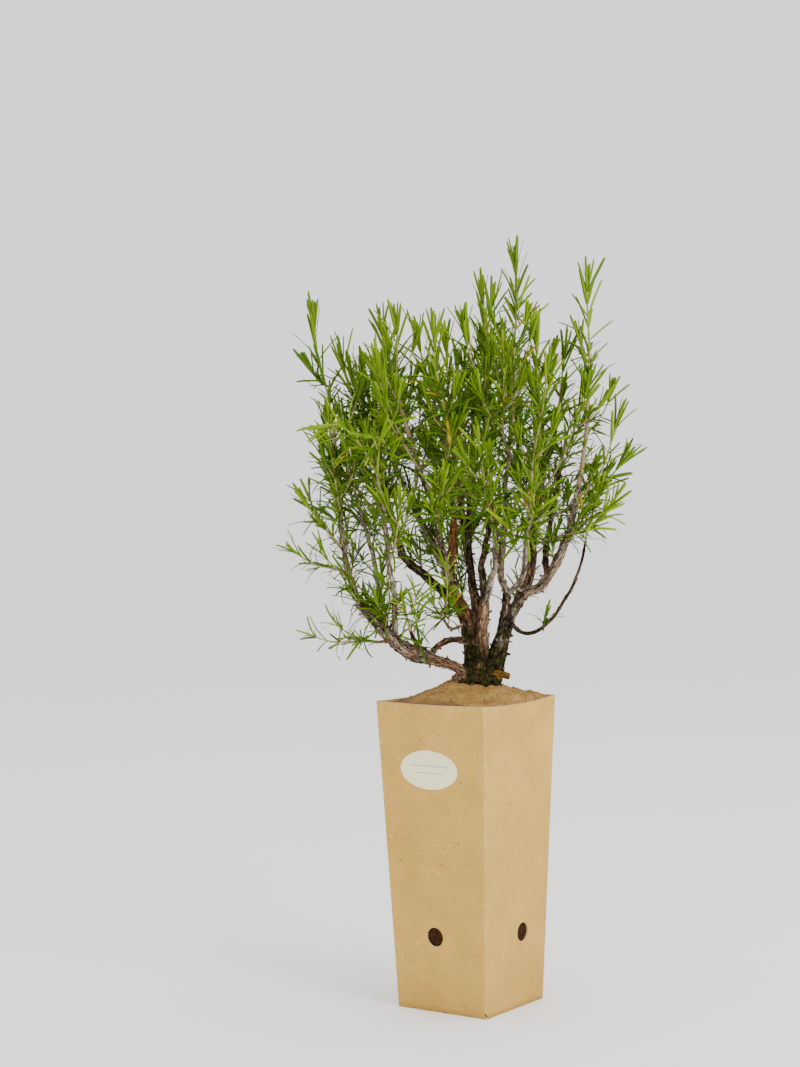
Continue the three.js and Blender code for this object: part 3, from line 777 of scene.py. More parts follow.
@dataclass(frozen=True)
class LabelPaper:
    """Cream paper with two plain ruled lines in grey-blue."""

    paper: Colour = srgb(252, 243, 203)
    aged: Colour = srgb(245, 233, 186)
    ink: Colour = srgb(120, 138, 158)
    lines: tuple[Pair, ...] = ((4.0, 46.0), (-3.0, 34.0))
    line_half: float = 0.45
    line_strength: float = 0.75

    def make(self) -> Material:
        """Builds the label's material."""
        sheet = NodeSheet("label_paper", 0.5)
        grain = sheet.noise(700, 3, 0.6)
        colour = sheet.mix(sheet.ramp(sheet.noise(60, 3), (0.3, 0.0), (0.7, 1.0)), self.aged, self.paper)
        for up, length in self.lines:
            thin = self.near(sheet, "Z", LABEL_AT[1] + up, self.line_half)
            short = self.near(sheet, "X", LABEL_AT[0], length / 2)
            colour = sheet.mix(sheet.times(sheet.times(thin, short), self.line_strength), colour, self.ink)
        return sheet.finish(colour, grain, 0.00015, 0.4)

    @staticmethod
    def near(sheet: NodeSheet, axis: str, middle: float, half: float) -> Socket:
        """1 where a coordinate lies less than half a width from a middle, in millimetres, and 0 elsewhere."""
        off = sheet.minus(sheet.axis(axis), middle * MM)
        return sheet.sum("LESS_THAN", sheet.sum("ABSOLUTE", off), half * MM)


@dataclass(frozen=True)
class SoilCrumb:
    """Dark moist potting soil."""

    dark: Colour = srgb(38, 24, 16)
    brown: Colour = srgb(84, 54, 34)

    def make(self) -> Material:
        """Builds the soil's material."""
        sheet = NodeSheet("moist_soil", 0.9, 0.06)
        lumps = sheet.cells(420)
        crumbs = sheet.noise(650, 4, 0.7)
        colour = sheet.mix(sheet.ramp(crumbs, (0.4, 0.0), (0.68, 1.0)), self.dark, self.brown)
        return sheet.finish(colour, sheet.plus(lumps, crumbs), 0.0016, 0.9)


@dataclass(frozen=True)
class DrySand:
    """Dry tan sand: grains of several shades, darker crumbs of soil, and painted shade on the mound."""

    tan: Colour = (0.35, 0.18, 0.036, 1.0)
    pale: Colour = (0.52, 0.3, 0.08, 1.0)
    brown: Colour = (0.13, 0.065, 0.022, 1.0)
    # How strongly the crumb value darkens: real crumbs on the loose grains, painted shade on the mound.
    crumb_and_shade_strength: float = 0.85

    def make(self) -> Material:
        """Builds the sand's material."""
        sheet = NodeSheet("dry_sand", 0.95)
        grains = sheet.cells(1500)
        patch = sheet.noise(70, 4)
        speck = sheet.noise(1300, 2, 0.5)
        colour = sheet.mix(sheet.ramp(patch, (0.38, 0.0), (0.66, 1.0)), self.tan, self.pale)
        colour = sheet.mix(sheet.ramp(speck, (0.55, 0.0), (0.72, 0.8)), colour, self.brown)
        # The crumb value darkens towards brown: real dark crumbs on the loose grains, painted shade and darker soil
        # on the mound.
        colour = sheet.mix(sheet.times(sheet.attribute("crumb"), self.crumb_and_shade_strength), colour, self.brown)
        return sheet.finish(colour, sheet.plus(grains, speck), 0.0008, 0.9)


@dataclass(frozen=True)
class OldBark:
    """Flaking bark that runs along each limb, dark, rust or grey, with black moss near the ground.

    Streaks, fine grain, the limb's tone, strips and plates add up to how light it is, each with its weight.
    """

    foot_top: float = 352.0
    foot_fade: float = 45.0
    streaks: float = 2.3
    fine: float = 1.1
    tone: float = 0.66
    strips: float = 1.5
    plates: float = 0.1
    darkest: float = 2.43
    lowness: float = 0.42
    grooves: float = 0.6
    ladder: tuple[tuple[float, Colour], ...] = (
        (0.0, srgb(24, 17, 12)), (0.22, srgb(66, 50, 37)), (0.45, srgb(116, 98, 78)),
        (0.7, srgb(164, 151, 130)), (1.0, srgb(208, 201, 184)))
    rust: tuple[Colour, Colour] = (srgb(90, 40, 12), srgb(208, 128, 54))
    ochre: tuple[Colour, Colour] = (srgb(74, 44, 14), srgb(160, 118, 50))
    moss: tuple[Colour, Colour] = (srgb(13, 9, 3), srgb(86, 83, 15))
    crack: Colour = srgb(36, 24, 16)
    all_rust: float = 0.97

    def make(self) -> Material:
        """Builds the bark's material."""
        sheet = NodeSheet("old_bark", 0.92, 0.12)
        grain = self.grain(sheet, 0.24)
        streaks = sheet.noise(0.62, 4, 0.68, grain)
        plates = sheet.cells(0.34, "F1", self.grain(sheet, 0.3))
        fine = sheet.noise(2.4, 3, 0.6, self.grain(sheet, 0.4))
        relief = sheet.plus(sheet.times(streaks, self.streaks), sheet.times(fine, self.fine))
        strips = sheet.noise(0.2, 3, 0.6, self.grain(sheet, 0.16))
        light = sheet.plus(sheet.times(sheet.attribute("bark"), self.tone), relief)
        light = sheet.plus(light, sheet.times(strips, self.strips))
        light = sheet.plus(sheet.minus(light, self.darkest), sheet.times(plates, self.plates), clamp=True)
        colour = sheet.ramp(light, *self.ladder)
        rusty = sheet.times(sheet.attribute("rust"), sheet.ramp(strips, (0.4, 0.2), (0.56, 1.0)))
        colour = sheet.mix(rusty, colour, sheet.mix(light, *self.rust))
        colour = sheet.mix(self.cut(sheet), colour, sheet.mix(light, *self.ochre))
        edge = sheet.cells(0.3, "DISTANCE_TO_EDGE", self.grain(sheet, 0.22))
        crack = sheet.ramp(edge, (0.0, 0.8), (0.09, 0.0))
        colour = sheet.mix(crack, colour, self.crack)
        raised = sheet.minus(sheet.axis("Z"), self.foot_top * MM)
        above = sheet.times(raised, self.foot_fade, clamp=True)
        low = sheet.attribute("foot")
        patch = sheet.plus(sheet.noise(85, 4, 0.6), sheet.times(low, self.lowness))
        bare = sheet.sum("MAXIMUM", sheet.times(above, sheet.attribute("rust")), self.cut(sheet))
        moss = sheet.ramp(patch, (0.64, 0.0), (0.78, 0.95))
        moss = sheet.times(moss, sheet.minus(1.0, bare))
        olive = sheet.ramp(sheet.noise(240, 4, 0.7), (0.42, 0.0), (0.66, 1.0))
        olive = sheet.times(olive, sheet.ramp(streaks, (0.36, 0.25), (0.58, 1.0)))
        colour = sheet.mix(moss, colour, sheet.mix(olive, *self.moss))
        height = sheet.minus(relief, sheet.times(sheet.plus(plates, crack), self.grooves))
        return sheet.finish(colour, height, 0.0012, 1.0)

    def grain(self, sheet: NodeSheet, along: float) -> Socket:
        """Coordinates in millimetres round each limb and, drawn out, along it."""
        return sheet.stretched(along, sheet.add("ShaderNodeAttribute", attribute_name="grain").outputs["Vector"])

    def cut(self, sheet: NodeSheet) -> Socket:
        """1 on the ochre wood of a cut branch and 0 on bark."""
        return sheet.sum("GREATER_THAN", sheet.attribute("rust"), self.all_rust)


@dataclass(frozen=True)
class StemSkin:
    """Young stem: pale green near the tip, tan and rough further down."""

    young: Colour = srgb(150, 164, 62)
    old: Colour = srgb(166, 144, 108)
    streak: Colour = srgb(92, 70, 40)

    def make(self) -> Material:
        """Builds the young stem's material."""
        sheet = NodeSheet("young_stem", 0.8, 0.15)
        streaks = sheet.noise(600, 3, 0.6, sheet.stretched(0.3))
        colour = sheet.mix(sheet.attribute("age"), self.old, self.young)
        dark = sheet.ramp(streaks, (0.45, 0.0), (0.65, 0.5))
        return sheet.finish(sheet.mix(dark, colour, self.streak), streaks, 0.0005, 0.7)


@dataclass(frozen=True)
class NeedleSkin:
    """A rosemary needle: leathery green above with a groove, felted grey-green below."""

    greens: tuple[tuple[float, Colour], ...] = (
        (0.0, (0.016, 0.042, 0.001, 1.0)), (0.35, (0.052, 0.118, 0.001, 1.0)),
        (0.68, (0.112, 0.212, 0.001, 1.0)), (1.0, (0.23, 0.352, 0.003, 1.0)))
    groove: Colour = (0.022, 0.062, 0.001, 1.0)
    felt: Colour = (0.14, 0.215, 0.022, 1.0)
    dry: tuple[Colour, Colour] = (srgb(196, 168, 30), srgb(150, 96, 30))
    brown: Colour = srgb(128, 96, 40)
    spread: float = 0.5
    dry_age: float = 1.5

    def make(self) -> Material:
        """Builds the needles' material."""
        sheet = NodeSheet("rosemary_needle", 0.5, 0.1)
        blade = sheet.add("ShaderNodeSeparateXYZ", Vector=sheet.add("ShaderNodeUVMap", uv_map="blade").outputs["UV"])
        around, along = blade.outputs["X"], blade.outputs["Y"]
        vary = sheet.noise(30, 2)
        drift = sheet.times(sheet.minus(vary, 0.5), self.spread)
        place = sheet.plus(sheet.attribute("age"), drift, clamp=True)
        colour = sheet.ramp(place, *self.greens)
        groove = sheet.ramp(around, (0.2, 0.0), (0.25, 0.55), (0.3, 0.0))
        colour = sheet.mix(groove, colour, self.groove)
        under = sheet.ramp(around, (0.5, 0.0), (0.57, 0.36), (0.93, 0.36), (1.0, 0.0))
        colour = sheet.mix(under, colour, self.felt)
        dry = sheet.sum("GREATER_THAN", sheet.attribute("age"), self.dry_age)
        colour = sheet.mix(dry, colour, sheet.ramp(vary, (0.4, self.dry[0]), (0.6, self.dry[1])))
        tip = sheet.times(sheet.ramp(along, (0.93, 0.0), (1.0, 0.7)), sheet.ramp(vary, (0.5, 0.0), (0.6, 1.0)))
        colour = sheet.mix(tip, colour, self.brown)
        return sheet.finish(colour, sheet.noise(1600, 2, 0.5), 0.00015, 0.4)


@dataclass(frozen=True)
class StudioFloor:
    """A plain pale floor."""

    def make(self) -> Material:
        """Builds the floor's material."""
        sheet = NodeSheet("studio_floor", 0.7)
        return sheet.finish(sheet.mix(sheet.noise(6, 2), srgb(249, 249, 248), srgb(253, 253, 252)))


class Finishes:
    """Every finish, made once."""

    def __init__(self) -> None:
        """Makes the materials."""
        self.board = KraftBoard().make()
        self.board_edge = BoardEdge().make()
        self.label = LabelPaper().make()
        self.soil = SoilCrumb().make()
        self.sand = DrySand().make()
        self.bark = OldBark().make()
        self.stem = StemSkin().make()
        self.needle = NeedleSkin().make()
        self.floor = StudioFloor().make()


# ---- meshes


@dataclass
class Assembly:
    """Anything that is built and dressed with the finishes."""

    finishes: Finishes


def placed(name: str, data: bpy.types.ID) -> Piece:
    """Puts a mesh, a light or a camera in the scene.

    Args:
        name: The object's name.
        data: What it shows.

    Returns:
        The object.
    """
    thing = bpy.data.objects.new(name, data)
    bpy.context.scene.collection.objects.link(thing)
    return thing


def new_piece(mesh: Mesh, slot: str, *materials: Material) -> Piece:
    """Puts a finished mesh in the scene as a piece of the object, which takes the mesh's name.

    Args:
        mesh: The mesh, in metres.
        slot: The record's slot for its finish; not used.
        *materials: Its materials, in slot order.

    Returns:
        The piece, riding on the part.
    """
    for material in materials:
        mesh.materials.append(material)
    piece = placed(mesh.name, mesh)
    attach(piece, BODY)
    log.info("%s: %d faces", mesh.name, len(mesh.polygons))
    return piece


def settle(piece: Piece) -> None:
    """Makes what a piece's modifiers do a part of its mesh.

    Args:
        piece: The piece, which loses its modifiers.
    """
    bpy.context.view_layer.update()
    mesh = bpy.data.meshes.new_from_object(piece.evaluated_get(bpy.context.evaluated_depsgraph_get()))
    piece.modifiers.clear()
    piece.data = mesh
    mesh.name = piece.name


def store(mesh: Mesh, **values: Sequence[float]) -> None:
    """Stores a value for each vertex of a mesh, under the name that its finish reads it by."""
    for name, value in values.items():
        mesh.attributes.new(name, "FLOAT", "POINT").data.foreach_set("value", value)


def extruded(
        bm: BMesh, edges: Iterable[bmesh.types.BMEdge]) -> tuple[list[bmesh.types.BMVert], list[bmesh.types.BMEdge]]:
    """Extrudes edges.

    Args:
        bm: The bmesh that they belong to.
        edges: The edges.

    Returns:
        The new vertices, and the new edges that lie open.
    """
    made = bmesh.ops.extrude_edge_only(bm, edges=edges)["geom"]
    verts = [g for g in made if isinstance(g, bmesh.types.BMVert)]
    return verts, [g for g in made if isinstance(g, bmesh.types.BMEdge) and g.is_boundary]


def mesh_from(bm: BMesh, name: str, smooth: bool = True) -> Mesh:
    """Turns a bmesh into a mesh and frees it.

    Args:
        bm: The bmesh.
        name: The mesh's name.
        smooth: Whether its faces are shaded smooth.

    Returns:
        The mesh.
    """
    for face in bm.faces:
        face.smooth = smooth
    mesh = bpy.data.meshes.new(name)
    bm.to_mesh(mesh)
    bm.free()
    return mesh


def thicken(bm: BMesh, thickness: float) -> None:
    """Makes a skin into a closed body.

    Args:
        bm: The skin.
        thickness: Its thickness in millimetres.
    """
    bmesh.ops.recalc_face_normals(bm, faces=bm.faces)
    bmesh.ops.solidify(bm, geom=bm.faces[:], thickness=thickness * MM)
    bmesh.ops.recalc_face_normals(bm, faces=bm.faces)


def slit(bm: BMesh, place: Sequence[float], normal: Triple) -> None:
    """Cuts all the faces along the plane through a place, square to a direction, without parting them."""
    geom = bm.verts[:] + bm.edges[:] + bm.faces[:]
    bmesh.ops.bisect_plane(bm, geom=geom, dist=1e-6, plane_co=place, plane_no=normal)


def sweep(bm: BMesh, points: Sequence[Vector], radii: Sequence[float], sides: int) -> None:
    """Sweeps a closed round bar along points.

    Args:
        bm: The bmesh that it is added to.
        points: Its middle line, in millimetres.
        radii: Its radius at each point.
        sides: Faces round it.
    """
    frames = carried_frames(points)

    def ring_place(i: int) -> Matrix:
        """Where a ring stands, square to the line."""
        along, side, over = frames[i]
        turn = Matrix((side * radii[i], over * radii[i], along)).transposed().to_4x4()
        return Matrix.Translation(points[i] * MM) @ Matrix.Diagonal((MM, MM, MM, 1.0)) @ turn

    ring = bmesh.ops.create_circle(bm, cap_ends=True, segments=sides, radius=1.0, matrix=ring_place(0))["verts"]
    face = ring[0].link_faces[0]
    before = ring_place(0)
    edges = list(face.edges)
    face.normal_flip()
    for i in range(1, len(points)):
        verts, edges = extruded(bm, edges)
        place = ring_place(i)
        bmesh.ops.transform(bm, matrix=place @ before.inverted(), verts=verts)
        before = place
    bmesh.ops.contextual_create(bm, geom=edges)


def half_side(z: float) -> float:
    """Half the pot's outer side at a height, in millimetres."""
    return (POT_BASE + (POT_TOP - POT_BASE) * z / POT_HEIGHT) / 2


def belly(z: float, along: float) -> float:
    """How far a wall bellies out at a height, `along` from -1 at one fold to 1 at the next."""
    rise = max(0.0, (z - BELLY_FROM) / (POT_HEIGHT - BELLY_FROM))
    return BELLY * rise * rise * max(0.0, 1 - along * along)


class Wall(Enum):
    """The pot's walls, in the order of their sizes, with the quarter turns from the front."""

    FRONT = 0
    RIGHT = 1
    BACK = 2
    LEFT = 3

    @property
    def turn(self) -> float:
        """How far the wall is turned from the front."""
        return self.value * math.pi / 2

    @property
    def hole_x(self) -> float:
        """How far the wall's hole stands from its middle."""
        return HOLE_OFFSET[self.value]


@dataclass
class Pot(Assembly):
    """The folded pot of kraft board."""

    fold: float = 3.0
    fold_steps: int = 4
    across_cuts: int = 21
    up_cuts: int = 46
    wave: float = 0.35
    rim_wave: float = 0.25
    hole_sides: int = 48
    punch_depth: float = 14
    tear_at: float = 3.6
    tear_lean: float = 0.6
    tear_half: Triple = (0.004, 0.0006, 0.0018)
    rub: float = 2.5
    # Painted shade on the inner face below the rim: how far down it fades, in millimetres, and how strong it is.
    inner_shade_fade: float = 7
    inner_painted_shade: float = 0.85

    ON_WALL = 0.999

    @property
    def flat(self) -> float:
        """Half the flat between two folds, as a share of half the base's side."""
        return 1 - self.fold / half_side(0)

    def build(self) -> None:
        """Makes the pot with its four holes."""
        bm = self.shell()
        self.form(bm)
        thicken(bm, BOARD)
        pot = new_piece(mesh_from(bm, "kraft_pot"), "board", self.finishes.board, self.finishes.board_edge)
        self.punch(pot)
        self.mark(pot.data)
        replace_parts(pot, "pot")

    def shell(self) -> BMesh:
        """Starts from a box with rounded folds.

        Returns:
            The box from -1 to 1, without its lid, its walls cut into a grid.
        """
        bm = bmesh.new()
        bmesh.ops.create_cube(bm, size=2.0)
        lid = [f for f in bm.faces if f.normal.z > 0.9]
        bmesh.ops.delete(bm, geom=lid, context="FACES_ONLY")
        upright = [e for e in bm.edges if abs(e.verts[0].co.z - e.verts[1].co.z) > 1]
        bmesh.ops.bevel(
            bm, geom=upright, offset=self.fold / half_side(0), segments=self.fold_steps, profile=0.5,
            affect="EDGES", material=-1)
        for normal, reach, cuts in (
                ((0, 0, 1), 1.0, self.up_cuts), ((1, 0, 0), self.flat, self.across_cuts),
                ((0, 1, 0), self.flat, self.across_cuts)):
            for i in range(cuts):
                slit(bm, Vector(normal) * (reach * (2 * (i + 1) / (cuts + 1) - 1)), normal)
        return bm

    def form(self, bm: BMesh) -> None:
        """Gives the box the pot's taper, belly, dipping rim and slight waves.

        Args:
            bm: The box from -1 to 1.
        """
        for v in bm.verts:
            x, y, share = v.co.x, v.co.y, (v.co.z + 1) / 2
            z = POT_HEIGHT * share
            px, py = (self.stretch(c, half_side(z)) for c in (x, y))
            along_x, along_y = (min(1.0, abs(c) / self.flat) for c in (x, y))
            on_x, on_y = (abs(c) > self.ON_WALL for c in (x, y))
            if on_y:
                py += math.copysign(belly(z, along_x), y)
            if on_x:
                px += math.copysign(belly(z, along_y), x)
            if share > self.ON_WALL:
                wall = (Wall.FRONT if y < 0 else Wall.BACK) if on_y else (Wall.RIGHT if x > 0 else Wall.LEFT)
                along = along_x if on_y else along_y
                z -= RIM_DIP[wall.value] * max(0.0, 1 - along * along)
                z += self.rim_wave * noise.noise(Vector((px, py, 0)) * 0.12)
            wave = self.wave * noise.noise(Vector((px, py, z)) * 0.03) * min(1.0, share * 4)
            v.co = Vector((px, py, z)) * MM + Vector((x, y, 0)).normalized() * (wave * MM if on_x or on_y else 0.0)

    def stretch(self, value: float, half: float) -> float:
        """Stretches the flat between the folds to the pot's width, and keeps the folds' radius.

        Args:
            value: A place across the box, from -1 to 1.
            half: Half the pot's side.

        Returns:
            The place across the pot.
        """
        if abs(value) <= self.flat:
            return value / self.flat * (half - self.fold)
        return math.copysign(half - self.fold + (abs(value) - self.flat) / (1 - self.flat) * self.fold, value)

    def punch(self, pot: Piece) -> None:
        """Cuts the round holes and a small tear low on the near corner.

        Args:
            pot: The pot, whose mesh is changed.
        """
        bm = bmesh.new()
        for wall in Wall:
            middle = Vector((wall.hole_x, -half_side(HOLE_HEIGHT), HOLE_HEIGHT)) * MM
            turn = Matrix.Rotation(wall.turn, 4, "Z")
            lie = Matrix.Rotation(math.pi / 2, 4, "X")
            bmesh.ops.create_cone(
                bm, cap_ends=True, segments=self.hole_sides, radius1=HOLE_RADIUS * MM, radius2=HOLE_RADIUS * MM,
                depth=self.punch_depth * MM, matrix=turn @ Matrix.Translation(middle) @ lie)
        half = half_side(self.tear_at) - 0.5
        tear = Matrix.Translation(Vector((half, -half, self.tear_at)) * MM) @ Matrix.Rotation(-math.pi / 4, 4, "Z")
        tear = tear @ Matrix.Rotation(self.tear_lean, 4, "X") @ Matrix.Diagonal((*self.tear_half, 1.0))
        bmesh.ops.create_cube(bm, size=2.0, matrix=tear)
        cutter = placed("cutter", mesh_from(bm, "cutter"))
        cut = pot.modifiers.new("holes", "BOOLEAN")
        cut.object = cutter
        cut.solver = "EXACT"
        settle(pot)
        bpy.data.objects.remove(cutter)

    def mark(self, mesh: Mesh) -> None:
        """Gives the cut edges their own finish, marks where the folds and the rim are rubbed, and where the inner
        face takes painted shade below the rim.

        Args:
            mesh: The pot's mesh.
        """
        rubbed, inside = [], []
        for v in mesh.vertices:
            x, y, z = (c / MM for c in v.co)
            corner = half_side(z) - min(abs(x), abs(y))
            rubbed.append(max(0.0, 1 - corner / self.rub, 1 - (POT_HEIGHT - z) / self.rub))
            # Inward faces get painted shade that fades out 7 mm below the rim.
            outward = v.normal.dot(Vector((x, y, 0)).normalized())
            inside.append(min(1.0, (POT_HEIGHT - z) / self.inner_shade_fade) * self.inner_painted_shade if outward < -0.3 else 0.0)
        store(mesh, fold=rubbed, inside=inside)
        for face in mesh.polygons:
            middle = face.center / MM
            on_rim = face.normal.z > 0.8 and middle.z > POT_HEIGHT - 6
            flat = Vector((middle.x, middle.y, 0))
            in_hole = abs(face.normal.dot(flat.normalized())) < 0.75 and abs(middle.z - HOLE_HEIGHT) < HOLE_RADIUS + 1
            near = min(self.hole_miss(middle, wall) for wall in Wall)
            if on_rim or (in_hole and near < 0.8):
                face.material_index = 1
            face.use_smooth = face.material_index == 0

    @staticmethod
    def hole_miss(place: Vector, wall: Wall) -> float:
        """How far a place lies from the rim of a wall's hole, in millimetres, endless across the pot."""
        x, y, z = Matrix.Rotation(-wall.turn, 3, "Z") @ place
        return math.inf if y > 0 else abs(math.hypot(x - wall.hole_x, z - HOLE_HEIGHT) - HOLE_RADIUS)


@dataclass
class OvalLabel(Assembly):
    """The oval paper sticker on the front wall."""

    sides: int = 96
    rings: int = 8
    ring_width: float = 0.115
    stand: float = 0.12
    thick: float = 0.3

    def build(self) -> None:
        """Makes the sticker."""
        bm = bmesh.new()
        bmesh.ops.create_circle(bm, cap_ends=True, segments=self.sides, radius=1.0)
        for _ in range(self.rings):
            bmesh.ops.inset_region(bm, faces=[max(bm.faces, key=lambda f: f.calc_area())], thickness=self.ring_width)
        for v in bm.verts:
            x = LABEL_AT[0] + v.co.x * LABEL_SIZE[0] / 2
            z = LABEL_AT[1] + v.co.y * LABEL_SIZE[1] / 2
            y = -half_side(z) - belly(z, x / half_side(z)) - self.stand
            v.co = Vector((x, y, z)) * MM
        thicken(bm, self.thick)
        label = new_piece(mesh_from(bm, "oval_label", False), "label", self.finishes.label)
        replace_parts(label, "label")


@dataclass
class SoilFill(Assembly):
    """The soil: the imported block, and the crumbs that press out at the holes."""

    crumbs: int = 90
    spread: float = 10.5
    sizes: Pair = (0.6, 2.0)
    form: Triple = (1.0, 0.8, 0.6)
    gap: float = 0.6
    depth: float = 0.8

    def build(self) -> None:
        """Dresses the block and makes the crumbs."""
        block = frame["nodes"]["potting_soil"]
        block.data.materials.clear()
        block.data.materials.append(self.finishes.soil)
        rng = random.Random(11)
        bm = bmesh.new()
        for wall in Wall:
            for _ in range(self.crumbs):
                self.crumb(bm, wall, rng)
        new_piece(mesh_from(bm, "soil_crumbs"), "soil", self.finishes.soil)

    def crumb(self, bm: BMesh, wall: Wall, rng: random.Random) -> None:
        """Adds one crumb behind a hole.

        Args:
            bm: The crumbs so far.
            wall: The wall with the hole.
            rng: The seeded draws.
        """
        turn, far = rng.uniform(0, math.tau), self.spread * math.sqrt(rng.random())
        x = wall.hole_x + far * math.cos(turn)
        z = HOLE_HEIGHT + far * math.sin(turn)
        size = rng.uniform(*self.sizes)
        y = -half_side(z) + BOARD + self.gap + rng.uniform(0.0, self.depth)
        place = Matrix.Rotation(wall.turn, 4, "Z") @ Matrix.Translation(Vector((x, y, z)) * MM)
        tilt = Quaternion([rng.random() for _ in range(4)]).normalized().to_matrix().to_4x4()
        shape = Matrix.Diagonal((*(size * share * MM for share in self.form), 1.0))
        bmesh.ops.create_icosphere(bm, subdivisions=1, radius=1.0, matrix=place @ tilt @ shape)


def sand_height(x: float, y: float) -> float:
    """Gives the height of the sand without its ripples.

    Args:
        x: A place across the pot, in millimetres.
        y: A place from front to back.

    Returns:
        The height in millimetres.
    """
    foot = turned(*SAND_FOOT, 0.0)
    heap = SAND_HEAP * max(0.0, (x + y) / POT_TOP) ** 2
    far = math.hypot(x - foot.x, y - foot.y) / SAND_SPREAD
    mound = (SAND_PEAK - SAND_EDGE) * math.exp(-far**SAND_FALL)
    room = half_side(SAND_EDGE) - BOARD - max(abs(x), abs(y))
    return min(SAND_EDGE + heap + mound, POT_HEIGHT - SAND_UNDER + SAND_BANK * room)


@dataclass
class SandDressing(Assembly):
    """The mound of sand, with loose grains and crumbs on it, and clumps of grains at the back.

    It has painted shade in the left corner, where it also stands for darker soil, and along the left wall, and a
    painted shadow along the front wall. corner, left and front say how far out that starts and over what width it
    deepens, and streak gives the middle, half length and fade of the front's.
    """

    cuts: int = 130
    play: float = 0.15
    skirt: float = 12.0
    corner: Pair = (60, 36)
    left: Pair = (48, 9)
    front: Pair = (47, 6)
    streak: Triple = (2, 34, 12)
    darkest: float = 0.92
    grains: int = 2600
    crumb_every: int = 9
    clump_every: int = 90
    grain_sizes: Pair = (0.3, 0.8)
    crumb_sizes: Pair = (0.45, 1.15)
    clump_sizes: Pair = (1.0, 2.2)
    clump: Pair = (46, 9)

    def build(self) -> None:
        """Makes the mound and its grains."""
        self.mound()
        self.loose()

    @staticmethod
    def surface(x: float, y: float) -> float:
        """Height of the sand with its lumps and ripples, in millimetres."""
        lumps = 1.6 * noise.noise(Vector((x, y, 3.0)) * 0.07) + 0.7 * noise.noise(Vector((x, y, 9.0)) * 0.25)
        return sand_height(x, y) + lumps + 0.35 * noise.noise(Vector((x, y, 5.0)) * 0.9)

    def mound(self) -> None:
        """Makes the mound as one closed body."""
        bm = bmesh.new()
        bmesh.ops.create_grid(bm, x_segments=self.cuts, y_segments=self.cuts, size=1.0)
        low, floor = extruded(bm, [e for e in bm.edges if e.is_boundary])
        low = set(low)
        half = half_side(SAND_EDGE) - BOARD - self.play
        for v in bm.verts:
            x = v.co.x * (half + belly(SAND_EDGE, v.co.y) * abs(v.co.x) ** 8)
            y = v.co.y * (half + belly(SAND_EDGE, v.co.x) * abs(v.co.y) ** 8)
            z = SAND_EDGE - self.skirt if v in low else self.surface(x, y)
            v.co = Vector((x, y, z)) * MM
        bmesh.ops.contextual_create(bm, geom=floor)
        bmesh.ops.recalc_face_normals(bm, faces=bm.faces)
        mesh = mesh_from(bm, "sand_mound")
        # The mound's crumb value is its painted shade, which in the left corner also stands for darker soil.
        store(mesh, crumb=[self.painted_shade(*(v.co.xy / MM)) for v in mesh.vertices])
        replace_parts(new_piece(mesh, "sand", self.finishes.sand), "sand")

    def painted_shade(self, x: float, y: float) -> float:
        """Tells how much painted shade the sand has: in the left corner, where it also stands for darker soil, along
        the left wall, and as a painted shadow in a broken line along the front wall.

        Args:
            x: A place across the pot, in millimetres.
            y: A place from front to back.

        Returns:
            Its darkness, 0 to 1.
        """
        corner, left, front = (
            (out - start) / width
            for out, (start, width) in ((-(x + y), self.corner), (-x, self.left), (-y, self.front)))
        middle, half, fade = self.streak
        broken = 0.75 + 0.9 * noise.noise(Vector((x, y, 2)) * 0.16)
        streak = kept(front) * kept((half - abs(x - middle)) / fade) * broken
        return kept(max(corner, left, streak), most=self.darkest)

    def loose(self) -> None:
        """Scatters grains and dark crumbs over the mound."""
        rng = random.Random(5)
        bm = bmesh.new()
        crumbs = []
        half = half_side(SAND_EDGE) - BOARD - 1.5
        for i in range(self.grains):
            dark, clump = i % self.crumb_every == 0, i % self.clump_every == 0
            size = rng.uniform(*(self.clump_sizes if clump else self.crumb_sizes if dark else self.grain_sizes))
            x, y = (rng.uniform(-half, half) for _ in range(2))
            if clump:
                x, y = (self.clump[0] + rng.gauss(0, self.clump[1]) for _ in range(2))
            place = Matrix.Translation(Vector((x, y, self.surface(x, y) + size * 0.15)) * MM)
            tilt = Matrix.Rotation(rng.uniform(0, math.tau), 4, "Z") @ Matrix.Rotation(rng.uniform(0, 1.2), 4, "X")
            shape = Matrix.Diagonal((size * MM, size * rng.uniform(0.6, 1.0) * MM, size * 0.65 * MM, 1.0))
            made = bmesh.ops.create_icosphere(bm, subdivisions=1, radius=1.0, matrix=place @ tilt @ shape)
            crumbs += [0.9 if dark and not clump else rng.uniform(0.0, 0.3)] * len(made["verts"])
        mesh = mesh_from(bm, "sand_grains", False)
        store(mesh, crumb=crumbs)
        new_piece(mesh, "sand", self.finishes.sand)


